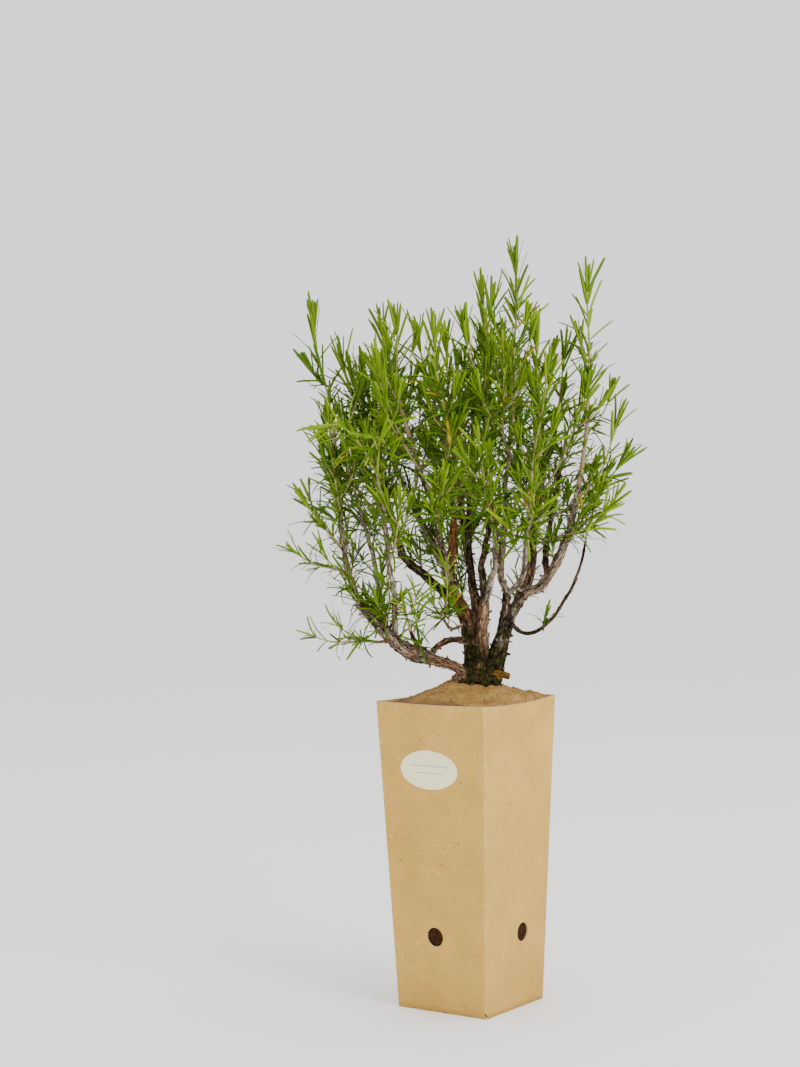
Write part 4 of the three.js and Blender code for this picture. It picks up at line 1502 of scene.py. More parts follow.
class BarkMap:
    """Tells each point of the wood where it lies: round its limb, along it, and what bark the limb has."""

    STEP, LIMB_APART, NEAREST = 2.0, 400, 9
    DRIFT, MOST_RUST = 0.16, 0.95
    MOSS_TOP, MOSS_FALL, MOSS_FROM, MOSS_FADE = 412.0, 62.0, -9.0, 12.0
    WARM_AT, WARM_REACH = (-9.0, -8.0, 408.0), 24.0

    def __init__(self, growth: Growth, names: Iterable[str]) -> None:
        """Marks the middle lines.

        Args:
            growth: The middle lines.
            names: The limbs to mark.
        """
        self.marks: list[tuple[Vector, Axes, float, float, Bark]] = []
        for number, name in enumerate(names):
            path, limb = growth.limbs[name], LIMBS[name]
            pieces = round(path.length / self.STEP)
            points = path.spaced(pieces)
            for i, (point, axes) in enumerate(zip(points, carried_frames(points))):
                radius = limb.radius[0] + (limb.radius[1] - limb.radius[0]) * i / pieces
                self.marks.append((point, axes, radius, i * self.STEP + number * self.LIMB_APART, limb.bark))
        self.tree = kdtree.KDTree(len(self.marks))
        for i, mark in enumerate(self.marks):
            self.tree.insert(mark[0], i)
        self.tree.balance()

    def read(self, place: Vector) -> tuple[Vector, float, Bark]:
        """Reads the map.

        Args:
            place: A point on the wood, in millimetres.

        Returns:
            Its place round and along its limb, the limb's radius, and the limb's bark.
        """
        near = min(self.tree.find_n(place, self.NEAREST), key=lambda hit: hit[2] / self.marks[hit[1]][2])
        point, (along, side, over), radius, run, bark = self.marks[near[1]]
        away = place - point
        return Vector((away.dot(side), away.dot(over), run + away.dot(along))), radius, bark

    def paint(self, mesh: Mesh) -> None:
        """Stores the map on a mesh for its finish.

        Args:
            mesh: A mesh of the wood.
        """
        grain, tones, rust, foot = [], [], [], []
        across, warm_at = turned(1.0, 0.0, 0.0), seen_at(self.WARM_AT)
        for v in mesh.vertices:
            place = v.co / MM
            own, _, bark = self.read(place)
            grain.extend(own)
            drift = self.DRIFT * noise.noise(place * 0.05)
            tones.append(bark.value[0] + drift)
            warm = max(0.0, 1 - (place - warm_at).length / self.WARM_REACH)
            rust.append(1.0 if bark is Bark.OCHRE else kept(bark.value[1] + 2 * drift + warm, most=self.MOST_RUST))
            top = self.MOSS_TOP + 16 * noise.noise(place * 0.1)
            low = kept((top - place.z) / self.MOSS_FALL)
            edge = place.dot(across) + 9 * noise.noise(place * 0.14)
            foot.append(low * kept((edge - self.MOSS_FROM) / self.MOSS_FADE))
        mesh.attributes.new("grain", "FLOAT_VECTOR", "POINT").data.foreach_set("vector", grain)
        store(mesh, bark=tones, rust=rust, foot=foot)


@dataclass
class OldWood(Assembly):
    """The burl with its roots, the limbs, the bare twigs, and the scales and spurs on them."""

    growth: Growth
    ring: float = 3.0
    voxel: float = 1.1
    thin: float = 2.9
    limb_sides: int = 14
    twig_sides: int = 10
    wobble: float = 1.8
    roots: int = 9
    scales: int = 1500
    scale_size: Pair = (6.5, 2.7)
    scale_sink: float = 0.35
    scales_from: float = 337
    spurs: int = 170
    spur_sink: float = 1.2
    spurs_from: float = 345

    def build(self) -> None:
        """Makes the fused old wood, the thin twigs, the scales and the spurs."""
        self.map = BarkMap(self.growth, LIMBS)
        thick = [n for n, limb in LIMBS.items() if limb.radius[0] > self.thin]
        self.fused(thick)
        bm = bmesh.new()
        for name in LIMBS:
            if name not in thick:
                self.limb(bm, name, self.twig_sides)
        self.barked(mesh_from(bm, "bare_twigs"))
        self.scaly()
        self.spurred()

    def barked(self, mesh: Mesh) -> Piece:
        """Marks where a mesh of the wood lies, and makes it a piece."""
        self.map.paint(mesh)
        return new_piece(mesh, "bark", self.finishes.bark)

    def radius_at(self, name: str, share: float, place: Vector) -> float:
        """A limb's radius with its knots and swellings.

        Args:
            name: The limb.
            share: Share of its length.
            place: The point, for the knots.

        Returns:
            The radius in millimetres.
        """
        start, end = LIMBS[name].radius
        knots = 1 + 0.16 * noise.noise(place * 0.06) + 0.1 * noise.noise(place * 0.19)
        if start < self.thin:
            knots += 0.55 * abs(noise.noise(place * 0.42))
        return (start + (end - start) * share) * knots

    def limb(self, bm: BMesh, name: str, sides: int) -> None:
        """Sweeps one limb.

        Args:
            bm: The wood so far.
            name: The limb.
            sides: Faces round it.
        """
        path = self.growth.limbs[name]
        pieces = max(4, round(path.length / self.ring))
        points = path.spaced(pieces)
        radii = [self.radius_at(name, i / pieces, p) for i, p in enumerate(points)]
        wobble = [Vector((noise.noise(p * 0.07), noise.noise(p * 0.07 + UP * 50), 0)) * self.wobble for p in points]
        ease = [min(1.0, 4 * i / pieces, 4 * (1 - i / pieces)) for i in range(pieces + 1)]
        sweep(bm, [p + w * e for p, w, e in zip(points, wobble, ease)], radii, sides)

    def root(self, bm: BMesh, index: int) -> None:
        """Sweeps one root from the burl out into the sand.

        Args:
            bm: The wood so far.
            index: Its number.
        """
        turn = math.tau * (index + 0.35 * draw(index + 3)) / self.roots
        out = Vector((math.cos(turn) * 1.25, math.sin(turn), 0))
        reach = 14 + 4 * draw(index + 17)
        stops = ((0.35, 336 + 9 * draw(index + 5)), (0.75, 331), (1.0, 325), (1.2, 312))
        places = [Vector((STUMP_AT.x, 0, z)) + out * reach * share for share, z in stops]
        path = smooth_path([turned(*p) for p in places])
        points = path.spaced(10)
        girth = 4.6 + 2.6 * draw(index + 41)
        radii = [girth * (1 - 0.6 * i / 10) * (1 + 0.2 * noise.noise(p * 0.15)) for i, p in enumerate(points)]
        sweep(bm, points, radii, 12)

    def fused(self, names: Sequence[str]) -> None:
        """Fuses the thick limbs, the roots and the burl into one skin with bark relief.

        Args:
            names: The limbs.
        """
        bm = bmesh.new()
        for name in names:
            self.limb(bm, name, self.limb_sides)
        for index in range(self.roots):
            self.root(bm, index)
        grow = Matrix.Diagonal((*(STUMP_HALF * MM), 1.0))
        place = Matrix.Translation(turned(*STUMP_AT) * MM) @ Matrix.Rotation(BUSH_TURN, 4, "Z")
        bmesh.ops.create_uvsphere(bm, u_segments=24, v_segments=16, radius=1.0, matrix=place @ grow)
        wood = new_piece(mesh_from(bm, "old_wood"), "bark", self.finishes.bark)
        fuse = wood.modifiers.new("fuse", "REMESH")
        fuse.mode = "VOXEL"
        fuse.voxel_size = self.voxel * MM
        settle(wood)
        self.relieve(wood.data)
        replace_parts(wood, "wood")

    def relieve(self, mesh: Mesh) -> None:
        """Raises bark plates along the grain.

        Args:
            mesh: The fused wood.
        """
        bm = bmesh.new()
        bm.from_mesh(mesh)
        bmesh.ops.smooth_vert(bm, verts=bm.verts, factor=0.5, use_axis_x=True, use_axis_y=True, use_axis_z=True)
        bm.normal_update()
        for v in bm.verts:
            own, radius, bark = self.map.read(v.co / MM)
            own.z *= 0.2
            plates = noise.noise(own * 0.34)
            ridges = 1 - 2.2 * abs(noise.noise(own * 0.62 + UP * 30))
            flakes = noise.noise(Vector((own.x, own.y, own.z * 2.2)) * 1.25)
            depth = 0.3 if bark is Bark.OCHRE else min(1.15, 0.16 + radius * 0.125)
            knobs = noise.noise(v.co / MM * 0.15) * kept((356 - v.co.z / MM) / 14)
            lumps = 0.0 if bark is Bark.OCHRE else 3.4 * knobs
            v.co += v.normal * (((0.75 * plates + 0.55 * ridges - 0.35 + 0.4 * flakes) * depth + lumps) * MM)
        bm.to_mesh(mesh)
        bm.free()
        self.map.paint(mesh)
        for face in mesh.polygons:
            face.use_smooth = True

    def spot(self, rng: random.Random, lowest: float) -> tuple[str, Vector, Vector, Vector, float]:
        """Picks a place on the skin of a limb, a thick limb more often than a thin one.

        Args:
            rng: The seeded draws.
            lowest: Least height in millimetres.

        Returns:
            The limb, the place, the grain and the way out there, and the radius.
        """
        pick = [n for n, limb in LIMBS.items() if n != "stub" for _ in range(round(sum(limb.radius) * 2))]
        while True:
            name = rng.choice(pick)
            share = rng.random()
            middle, along, side, over = self.growth.limbs[name].frame(share)
            out = swung(side, over, rng.uniform(0, math.tau))
            radius = self.radius_at(name, share, middle)
            if middle.z > lowest:
                return name, middle + out * radius, along, out, radius

    def scaly(self) -> None:
        """Scatters lifted scales of bark."""
        rng = random.Random(77)
        scales = Stamps()
        for _ in range(self.scales):
            _, place, along, out, radius = self.spot(rng, self.scales_from)
            along = along * rng.choice((1, -1))
            askew = out.cross(along) * rng.uniform(-0.35, 0.35)
            size = rng.uniform(0.6, 1.25) * min(1.0, 0.25 + radius / 7)
            lift = rng.uniform(2, 24)
            length, width = (side * size for side in self.scale_size)
            scales.add(place - out * self.scale_sink, (along + askew).normalized(), out, lift, length, width,
                       -rng.uniform(0.1, 0.9), rng.uniform(-0.3, 0.35))
        verts, faces, _, tones = scales.arrays(BarkScale())
        mesh = bpy.data.meshes.new("bark_scales")
        mesh.from_pydata(verts.tolist(), [], faces)
        self.barked(mesh)
        for datum, tone in zip(mesh.attributes["bark"].data, tones.tolist()):
            datum.value += tone

    def spurred(self) -> None:
        """Sets short dead spurs, the stumps of fallen twigs, on the limbs."""
        rng = random.Random(31)
        bm = bmesh.new()
        for _ in range(self.spurs):
            name, place, along, out, radius = self.spot(rng, self.spurs_from)
            length = rng.uniform(1.6, 5.5) * (1.0 if LIMBS[name].radius[0] > 2 else 0.5)
            girth = min(radius * 0.55, rng.uniform(0.6, 1.5))
            bend = along * rng.uniform(-0.3, 0.9)
            points = [place - out * self.spur_sink, place + out * length * 0.5, place + (out + bend) * length * 0.8]
            sweep(bm, points, (girth * 1.3, girth, girth * rng.uniform(0.4, 0.95)), 6)
        self.barked(mesh_from(bm, "dead_spurs"))


class Stamp:
    """A small shape that many copies are made of: 1 long with its tip along +Y, 1 wide, upper side +Z."""

    def keep(self, bm: BMesh, around: list[list[Pair]] | None = None) -> None:
        """Keeps a bmesh as plain arrays and frees it.

        Args:
            bm: The shape.
            around: Map places of each face's corners, if the shape has any.
        """
        bm.verts.index_update()
        self.verts = np.array([v.co for v in bm.verts])
        self.faces = [[v.index for v in f.verts] for f in bm.faces]
        self.around = around or [[(0.0, 0.0)] * len(f.verts) for f in bm.faces]
        bm.free()


class BarkScale(Stamp):
    """A thin scale of bark."""

    def __init__(self) -> None:
        """Shapes the scale from a slab that narrows to a ragged tip."""
        bm = bmesh.new()
        place = Matrix.Translation((0, 0.5, 0)) @ Matrix.Diagonal((1.0, 1.0, 0.22, 1.0))
        bmesh.ops.create_cube(bm, size=1.0, matrix=place)
        slit(bm, (0, 0.55, 0), (0, 1, 0))
        for v in bm.verts:
            v.co.x *= 1.0 if 0.4 < v.co.y < 0.7 else (0.7 if v.co.y < 0.4 else 0.35)
            v.co.y += 0.12 * v.co.x
        self.keep(bm)


class Blade(Stamp):
    """A needle: a strap with a blunt tip, a groove above and a rib below."""

    SECTION = ((-0.5, -0.1), (-0.26, 0.1), (0.0, 0.03), (0.26, 0.1), (0.5, -0.1), (0.0, -0.12))
    TURNS = (0.0, 0.14, 0.25, 0.36, 0.5, 0.75)
    RINGS = ((0.0, 0.5), (0.1, 0.8), (0.3, 1.0), (0.53, 1.0), (0.75, 0.96), (0.91, 0.84), (0.98, 0.5))

    def __init__(self) -> None:
        """Makes the blade by extruding its section ring by ring."""
        bm = bmesh.new()
        turn = bm.verts.layers.float.new("turn")
        ring = bmesh.ops.create_circle(bm, cap_ends=True, segments=len(self.SECTION), radius=1.0)["verts"]
        for v, (x, z), share in zip(ring, self.SECTION, self.TURNS):
            v.co = Vector((x, 0.0, z)) * self.RINGS[0][1]
            v[turn] = share
        edges = list(ring[0].link_faces[0].edges)
        for (y0, w0), (y1, w1) in zip(self.RINGS, self.RINGS[1:]):
            verts, edges = extruded(bm, edges)
            bmesh.ops.scale(bm, vec=(w1 / w0, 1.0, w1 / w0), verts=verts)
            bmesh.ops.translate(bm, vec=(0.0, y1 - y0, 0.0), verts=verts)
        bmesh.ops.pointmerge(bm, verts=extruded(bm, edges)[0], merge_co=Vector((0.0, 1.0, 0.0)))
        bmesh.ops.recalc_face_normals(bm, faces=bm.faces)
        self.keep(bm, [self.corners(f, turn) for f in bm.faces])

    @staticmethod
    def corners(face: bmesh.types.BMFace, turn: bmesh.types.BMLayerItem) -> list[Pair]:
        """Gives each corner of a face its place on the needle.

        Args:
            face: The face.
            turn: The layer that says how far round the needle a vertex lies.

        Returns:
            The share round the needle and the share along it, for each corner.
        """
        turns = [v[turn] for v in face.verts]
        if max(turns) - min(turns) > 0.5:
            turns = [t + 1.0 if t < 0.4 else t for t in turns]
        middle = sum(turns) / len(turns)
        return [(middle if v.co.y > 0.999 else t, v.co.y) for v, t in zip(face.verts, turns)]


@dataclass
class Stamps:
    """Copies of a stamp, each with its place, size and bend. One that would stand out of the hull is cut back."""

    copies: list[tuple[Vector, Vector, Vector, Triple, float]] = field(default_factory=list)

    LEAST_LEFT, CUT_BACK, LEAST_BEND = 0.5, 1.4, 1e-3

    def add(self, root: Vector, along: Vector, out: Vector, lean: float, length: float, width: float,
            bend: float, tone: float, roll: float = 0.0) -> None:
        """Adds a copy.

        Args:
            root: Where it leaves what it grows on.
            along: Its direction when its lean is 0.
            out: The direction that it leans to.
            lean: Its angle to along, in degrees.
            length: Its length in millimetres.
            width: Its width.
            bend: How far it turns away on its way to the tip, in radians.
            tone: Its shade, stored on its vertices.
            roll: Turn about its own length, in radians.
        """
        lay = math.radians(lean)
        heading = swung(along, out, lay)
        back = along * math.sin(lay) - out * math.cos(lay)
        tip = root + heading * length
        over = max(abs(tip.x - HULL_MIDDLE[0]) - HULL_HALF[0], abs(tip.y - HULL_MIDDLE[1]) - HULL_HALF[1], 0.0)
        length = max(length * self.LEAST_LEFT, length - over * self.CUT_BACK)
        back = Quaternion(heading, roll) @ back if roll else back
        self.copies.append((root, heading, back, (length, width, bend), tone))

    def arrays(self, stamp: Stamp) -> tuple[np.ndarray, list[list[int]], list[Pair], np.ndarray]:
        """Lays out all the copies.

        Args:
            stamp: The shape of one.

        Returns:
            Vertices in metres, faces, the map's corners, and each vertex's tone.
        """
        *lines, sizes, tones = zip(*self.copies)
        root, heading, back = (np.array(v)[:, None] for v in lines)
        length, width, bend = (np.array(sizes)[:, i, None, None] for i in range(3))
        bend = np.where(np.abs(bend) < self.LEAST_BEND, self.LEAST_BEND, bend)
        side = np.cross(heading, back)
        x, y, z = (stamp.verts[None, :, i, None] for i in range(3))
        turn = bend * y
        line = heading * (np.sin(turn) / bend) - back * ((1 - np.cos(turn)) / bend)
        above = back * np.cos(turn) + heading * np.sin(turn)
        points = root + line * length + side * width * x + above * width * z
        count = len(stamp.verts)
        faces = [[v + n * count for v in face] for n in range(len(tones)) for face in stamp.faces]
        corners = [c for _ in tones for face in stamp.around for c in face]
        return points.reshape(-1, 3) * MM, faces, corners, np.repeat(tones, count)


@dataclass
class Seat:
    """Where needles stand on a stem: the stem's direction, their side, how high up, their size and brightness."""

    root: Vector
    along: Vector
    out: Vector
    height: float
    vigour: float
    youth_and_light: float


@dataclass
class Foliage:
    """Stems under way: their skins and the needles on them.

    droop is how much more the needles hang, 0 for a stem of the crown, spread how far the topmost ones lean out,
    and gap how far apart the pairs stand, 1 for a full stem. A pair of sizes holds the size at the foot of a stem
    and what is added at its top. Leans are in degrees.
    """

    seed: int
    droop: float = 0.0
    spread: float = 17.0
    gap: float = 1.0

    SIDES, RING_GAP = 7, 6
    TIP_RADIUS, THINNEST = (0.55, 0.2), 0.35
    PAIR_GAP = (5.1, 3.4)
    LOW_LEAN, LEAN_SCATTER = 73, 9
    LENGTH, WIDTH = (30, 10), (2.3, 1.1)
    AGE, AGE_SCATTER = (-0.26, 0.31), 0.17
    DRY, DRY_SHARE = 2.0, 0.035
    AXIL_SHARE, AXIL_TOP = 0.5, 0.8
    TUFT, TUFT_LENGTH, TUFT_START = 5, 17.0, 0.45

    def __post_init__(self) -> None:
        """Starts bare."""
        self.rng = random.Random(self.seed)
        self.needles = Stamps()
        self.skins = bmesh.new()
        self.ages: list[float] = []

    def grow(self, path: Path, foot: float, bare: float, vigour: float, youth_and_light: float) -> None:
        """Grows one axis: its skin, its pairs of needles, the tufts in their axils and the tuft at its tip.

        Args:
            path: The middle line.
            foot: Radius at its foot.
            bare: Share of it that carries no needles.
            vigour: Size of its needles, 1 for a main stem.
            youth_and_light: How bright they are, with painted light and shade on some stems.
        """
        rng = self.rng
        pieces = max(4, round(path.length / self.RING_GAP))
        closed = max(self.TUFT_START, 1 - self.TUFT_LENGTH * vigour / path.length)
        points = path.spaced(pieces)
        tip = self.TIP_RADIUS[0] + self.TIP_RADIUS[1] * vigour
        radii = [max(self.THINNEST, foot + (tip - foot) * (i / pieces) ** 0.7) for i in range(pieces + 1)]
        sweep(self.skins, points, radii, self.SIDES)
        self.ages += [kept(1.5 * i / pieces - 0.4) for i in range(pieces + 1) for _ in range(self.SIDES)]
        frames = carried_frames(points)
        apart = self.PAIR_GAP[0] + self.PAIR_GAP[1] * vigour
        pairs = max(3, round(path.length * (closed - bare) / apart / self.gap))
        start = rng.uniform(0, math.pi)
        for pair in range(pairs):
            height = pair / (pairs - 1)
            share = bare + (closed - bare) * height
            along, side, over = frames[min(pieces, round(share * pieces))]
            root = path.at(share)
            for half in (0.0, math.pi):
                turn = start + half + pair * math.pi / 2 + rng.uniform(-0.3, 0.3)
                seat = Seat(root, along, swung(side, over, turn), height, vigour, youth_and_light)
                self.needle(seat)
                if height < self.AXIL_TOP and rng.random() < self.AXIL_SHARE:
                    self.axil(seat)
        self.tuft(path, closed, frames[-1], vigour, youth_and_light)

    def needle(self, seat: Seat) -> None:
        """Adds one needle of a pair.

        Args:
            seat: Where it stands.
        """
        rng, height = self.rng, seat.height
        lean = self.spread + (self.LOW_LEAN - self.spread) * (1 - height) ** 0.9 + rng.gauss(0, self.LEAN_SCATTER)
        length = (self.LENGTH[0] + self.LENGTH[1] * height) * (0.35 + 0.65 * seat.vigour) * rng.uniform(0.78, 1.12)
        bend = rng.uniform(-0.1, 0.35) + (1 - height + self.droop) * rng.uniform(0.05, 1.2)
        width = (self.WIDTH[0] + self.WIDTH[1] * height) * (1 - 0.35 * self.droop) * rng.uniform(0.88, 1.12)
        # A needle's brightness: what the stem passes in, which holds painted light and shade on some stems, rising
        # towards the top.
        age = kept(seat.youth_and_light + self.AGE[0] + self.AGE[1] * height + rng.gauss(0, self.AGE_SCATTER))
        if rng.random() < self.DRY_SHARE * (1 - height):
            age = self.DRY
        self.needles.add(seat.root, seat.along, seat.out, lean, length, width, bend, age, rng.gauss(0, 0.35))

    def axil(self, seat: Seat) -> None:
        """Adds the tuft of small needles in the axil of a needle.

        Args:
            seat: Where the needle stands.
        """
        rng = self.rng
        bud = swung(seat.along, seat.out, math.radians(rng.uniform(18, 52)))
        side, over = square_to(bud)
        for i in range(rng.randint(2, 5)):
            away = swung(side, over, i * 2.1 + rng.uniform(0, 1))
            length = rng.uniform(9, 23) * seat.vigour * (1.15 - 0.35 * seat.height)
            age = kept(seat.youth_and_light - 0.1 + rng.gauss(0, 0.16))
            self.needles.add(seat.root + seat.out * 0.8, bud, away, rng.uniform(8, 36), length, rng.uniform(1.5, 2.0),
                             rng.uniform(0, 0.5 + self.droop), age, rng.gauss(0, 0.4))

    def tuft(self, path: Path, closed: float, axes: Axes, vigour: float,
             youth_and_light: float) -> None:
        """Adds the closed tuft of upright needles at a tip.

        Args:
            path: The middle line.
            closed: Share of it where the tuft starts.
            axes: Its direction at the tip and two square to it.
            vigour: Its size.
            youth_and_light: Its brightness, with painted light and shade on some stems.
        """
        rng = self.rng
        along, side, over = axes
        for i in range(self.TUFT):
            out = swung(side, over, i * 1.7 + rng.uniform(-0.3, 0.3))
            root = path.at(closed + (0.97 - closed) * (i / self.TUFT))
            length = (38 - 4.4 * i) * (0.3 + 0.7 * vigour) * rng.uniform(0.88, 1.05)
            age = kept(youth_and_light + 0.1 + rng.gauss(0, 0.13))
            lean = max(3.0, 15 - 2.6 * i + rng.gauss(0, 3)) + self.droop * rng.uniform(0, 40)
            bend = rng.uniform(-0.12, 0.2) + self.droop * rng.uniform(0, 1.3)
            width = rng.uniform(2.5, 3.2) * (1 - 0.45 * self.droop)
            self.needles.add(root, along, out, lean, length, width, bend, age, rng.gauss(0, 0.25))

    def mesh(self, name: str, blade: Blade) -> Mesh:
        """Joins the skins and the needles in one mesh.

        Args:
            name: The mesh's name.
            blade: The shape of a needle.

        Returns:
            The mesh, with its map and ages.
        """
        verts, faces, corners, ages = self.needles.arrays(blade)
        skin = [v.co.copy() for v in self.skins.verts]
        skin_faces = [[v.index + len(verts) for v in f.verts] for f in self.skins.faces]
        self.skins.free()
        mesh = bpy.data.meshes.new(name)
        mesh.from_pydata([*verts.tolist(), *skin], [], faces + skin_faces)
        mesh.polygons.foreach_set("material_index", [0] * len(faces) + [1] * len(skin_faces))
        mesh.polygons.foreach_set("use_smooth", [True] * (len(faces) + len(skin_faces)))
        flat = [c for corner in corners for c in corner]
        uv = mesh.uv_layers.new(name="blade")
        uv.data.foreach_set("uv", flat + [0.0] * (2 * len(mesh.loops) - len(flat)))
        store(mesh, age=[*ages.tolist(), *self.ages])
        return mesh


@dataclass
class Greenery(Assembly):
    """Anything that carries needles."""

    blade: Blade

    def leaf(self, foliage: Foliage, name: str, slot: str) -> Piece:
        """Makes a piece of what has grown."""
        return new_piece(foliage.mesh(name, self.blade), slot, self.finishes.needle, self.finishes.stem)


def sprig_path(start: Vector, along: Vector, out: Vector, length: float, rise: float) -> Path:
    """Lays a side sprig that leaves slantwise and then turns up.

    Args:
        start: Where it leaves.
        along: Direction of what it leaves.
        out: The side that it leaves on.
        length: Its length in millimetres.
        rise: How strongly it turns up.

    Returns:
        Its middle line.
    """
    leave = (out + along * 0.75).normalized()
    ahead = (out * 0.3 + along * 0.7 + UP * rise).normalized()
    tip = start + leave * length * 0.35 + ahead * length * 0.65
    return arc_path(start, start + leave * length * 0.33, tip - ahead * length * 0.33, tip)


@dataclass
class LeafyStem(Greenery):
    """One leafy stem with its side sprigs.

    Sprigs and needles stand further apart on stems at the far right and left, and needles hang on low stems and carry
    a little painted light there.
    """

    index: int
    path: Path
    foot_radius: float
    youth_and_light: float
    bare: float
    sprig_gap: float = 36.0
    sprig_length: Pair = (34, 66)
    right_from: float = 92
    left_from: float = -110
    droops_below: float = 560
    droop_fade: float = 190
    most_droop: float = 0.8
    wander: float = 3.0
    nods: dict[int, tuple[Triple, ...]] = field(default_factory=lambda: {
        25: ((-78, -96, 566), (-81, -100, 574), (-88, -102, 570), (-93, -102, 560))})

    def build(self, slot: str) -> None:
        """Makes the stem with all its needles.

        Args:
            slot: The record's slot.
        """
        self.path = self.natural()
        tip = self.path.at(1.0)
        across = tip.dot(turned(1.0, 0.0, 0.0))
        thin = 3.0 if across > self.right_from else 1.5 if across < self.left_from else 1.0
        droop = kept((self.droops_below - tip.z) / self.droop_fade, most=self.most_droop)
        gap = (1.3 if across > self.right_from else 1.0) + 0.12 * droop
        foliage = Foliage(1000 + self.index, droop, 11 + 15 * draw(self.index + 60), gap)
        # Low drooping stems get slightly brighter needles: painted light.
        foliage.grow(self.path, self.foot_radius, self.bare, 1.0 - 0.25 * droop, self.youth_and_light + 0.07 * droop)
        count = max(1, round(self.path.length / self.sprig_gap / thin))
        for i in range(count):
            share = 0.1 + 0.58 * (i + foliage.rng.random()) / count
            start, along, side, over = self.path.frame(share)
            out = swung(side, over, i * GOLDEN_TURN + self.index)
            length = foliage.rng.uniform(*self.sprig_length) * (1.15 - 0.6 * share)
            sprig = sprig_path(start, along, out, length, 0.35)
            foliage.grow(sprig, 0.95, 0.1, foliage.rng.uniform(0.68, 0.9), self.youth_and_light - 0.06)
        stem = self.leaf(foliage, f"rosemary_stem_{self.index + 1:02d}", slot)
        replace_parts(stem, f"leafy_stem_{self.index + 1:02d}")

    def natural(self) -> Path:
        """Gives the stem's line its small waves, and its nodding tip if it has one.

        Returns:
            The line.
        """
        points = self.path.spaced(10)
        for i, p in enumerate(points):
            seed = Vector((p.x, p.y, p.z + 900 * self.index)) * 0.018
            wave = Vector((noise.noise(seed), noise.noise(seed + UP * 40), 0.0))
            points[i] = p + wave * (self.wander * min(1.0, i / 4) * (1.6 - 0.6 * i / 10))
        if self.index in self.nods:
            points[-2:] = [seen_at(p) for p in self.nods[self.index]]
        return smooth_path(points)


@dataclass
class LowSprigs(Greenery):
    """Short sprigs that sprout from the old limbs below the crown.

    counts gives for each limb how many it carries, and the part of its length that they stand on. The one on the
    hooked twig is a bud of a few short needles. One long spray arches over to the left.
    """

    growth: Growth
    counts: tuple[tuple[str, int, float, float], ...] = (
        ("low_left", 9, 0.3, 1.0), ("left_stem_a", 7, 0.05, 1.0), ("left_stem_b", 7, 0.0, 1.0),
        ("left_stem_c", 7, 0.0, 1.0), ("left_rise", 6, 0.15, 1.0), ("crook", 2, 0.3, 1.0), ("left_twig", 2, 0.5, 1.0),
        ("far_left", 1, 0.9, 1.0), ("lean_left", 2, 0.45, 1.0), ("rust", 2, 0.5, 1.0), ("dark_mid", 3, 0.35, 1.0),
        ("mid_fork", 3, 0.35, 1.0), ("pale_mid", 5, 0.2, 1.0), ("right_front", 5, 0.3, 1.0),
        ("right_inner", 3, 0.3, 1.0), ("right_grey", 3, 0.4, 0.8), ("right_up", 4, 0.35, 1.0),
        ("right_fork", 3, 0.2, 1.0), ("hook", 1, 0.3, 0.33), ("back_left", 8, 0.25, 1.0), ("back_mid", 7, 0.25, 1.0),
        ("back_right", 7, 0.25, 1.0),
    )
    lowest_out: float = -0.3
    spray_on: int = 25
    spray: tuple[Triple, ...] = (
        (-98, -76, 560), (-112, -80, 579), (-127, -82, 588), (-146, -80, 581))

    def build(self) -> None:
        """Makes the sprigs as one piece."""
        foliage = Foliage(404, 0.75)
        rng = foliage.rng
        for name, count, low, high in self.counts:
            for i in range(count):
                share = low + (high - low) * (i + rng.random()) / count
                start, along, side, over = self.growth.limbs[name].frame(share)
                out = swung(side, over, rng.uniform(0, math.tau))
                if out.z < self.lowest_out:
                    out = -out
                bud = name == "hook"
                line = sprig_path(start, along, out, 11.0 if bud else rng.uniform(12, 42), rng.uniform(-0.1, 0.5))
                foliage.grow(line, 0.8, 0.28, 0.5 if bud else rng.uniform(0.62, 0.85), rng.uniform(0.35, 0.72))
        foot = self.growth.stems[self.spray_on].at(0.3)
        foliage.droop, foliage.gap = 0.3, 0.7
        foliage.grow(smooth_path([foot, *(seen_at(p) for p in self.spray)]), 1.3, 0.2, 1.1, 1.0)
        self.leaf(foliage, "low_sprigs", "leaf_green")


# ---- studio


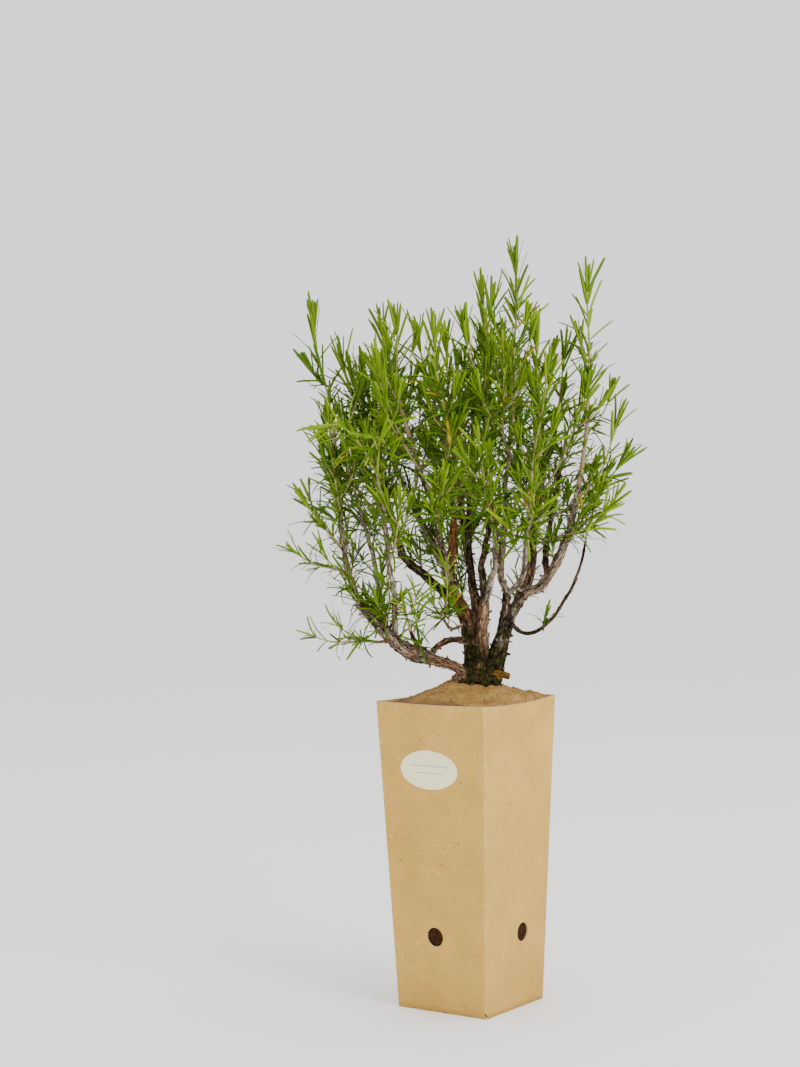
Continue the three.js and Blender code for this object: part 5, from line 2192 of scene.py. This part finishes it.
@dataclass
class Studio(Assembly):
    """Floor, lights and the camera at the photograph's place.

    Each lamp has its name, place, side in metres and power in watts.
    """

    floor_half: float = 30.0
    surround: float = 1.45
    lamps: tuple[tuple[str, Triple, float, float], ...] = (
        ("key", (2.2, -0.5, 1.7), 1.2, 44), ("top", (0.2, 0.3, 2.4), 1.6, 14))
    lit: Triple = (0, 0, 0.4)
    place: Triple = (1.2738, -1.8908, 0.5541)
    azimuth: float = 35.581
    pitch: float = 1.932
    roll: float = -0.984
    lens: float = 76.25

    def build(self) -> None:
        """Makes the studio."""
        self.floor()
        self.lights()
        self.camera()

    def floor(self) -> None:
        """Makes a wide pale floor."""
        bm = bmesh.new()
        bmesh.ops.create_grid(bm, x_segments=1, y_segments=1, size=self.floor_half)
        mesh = mesh_from(bm, "studio_floor")
        mesh.materials.append(self.finishes.floor)
        placed("studio_floor", mesh)

    def lights(self) -> None:
        """Sets a bright even surround, a broad key from the front right and a soft light from above."""
        world = bpy.data.worlds.new("studio")
        world.use_nodes = True
        world.node_tree.nodes["Background"].inputs["Color"].default_value = (1.0, 1.0, 1.0, 1.0)
        world.node_tree.nodes["Background"].inputs["Strength"].default_value = self.surround
        bpy.context.scene.world = world
        for name, place, size, watts in self.lamps:
            data = bpy.data.lights.new(name, "AREA")
            data.size = size
            data.energy = watts
            light = placed(name, data)
            light.location = place
            light.rotation_mode = "QUATERNION"
            light.rotation_quaternion = (Vector(self.lit) - Vector(place)).to_track_quat("-Z", "Y")

    def camera(self) -> None:
        """Places the camera."""
        a, p, r = (math.radians(v) for v in (self.azimuth, self.pitch, self.roll))
        level = Vector((math.cos(a), math.sin(a), 0.0))
        ahead = Vector((-math.sin(a) * math.cos(p), math.cos(a) * math.cos(p), -math.sin(p)))
        over = level.cross(ahead)
        up = over * math.cos(r) - level * math.sin(r)
        data = bpy.data.cameras.new("camera")
        data.lens = self.lens
        camera = placed("camera", data)
        turn = Matrix((swung(level, over, r), up, -ahead)).transposed().to_4x4()
        camera.matrix_world = Matrix.Translation(self.place) @ turn
        bpy.context.scene.camera = camera


# ---- the whole plant


def main() -> None:
    """Builds the plant in its pot, and the studio round it."""
    logging.basicConfig(level=logging.INFO, format="%(message)s")
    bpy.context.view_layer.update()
    finishes = Finishes()
    for kind in (Studio, Pot, OvalLabel, SoilFill, SandDressing):
        kind(finishes).build()
    growth = Growth()
    OldWood(finishes, growth).build()
    blade = Blade()
    LowSprigs(finishes, blade, growth).build()
    slots = {s["node"]: s["material_slot"] for s in frame["record"]["subparts"]}
    for index, (shoot, path) in enumerate(zip(growth.shoots, growth.stems)):
        foot = LIMBS[shoot.limb].radius[1] if shoot.at_end else 1.5
        traced = index < len(FRONT_STEMS)
        # The leftmost tall stem gets darker needles: painted shade.
        youth_and_light = 0.48 if index == 0 else 0.71 if traced else 0.6
        stem = LeafyStem(finishes, blade, index, path, foot, youth_and_light, 0.08 if traced else 0.22)
        stem.build(slots[f"leafy_stem_{index + 1:02d}"])


if __name__ == "__main__":
    main()
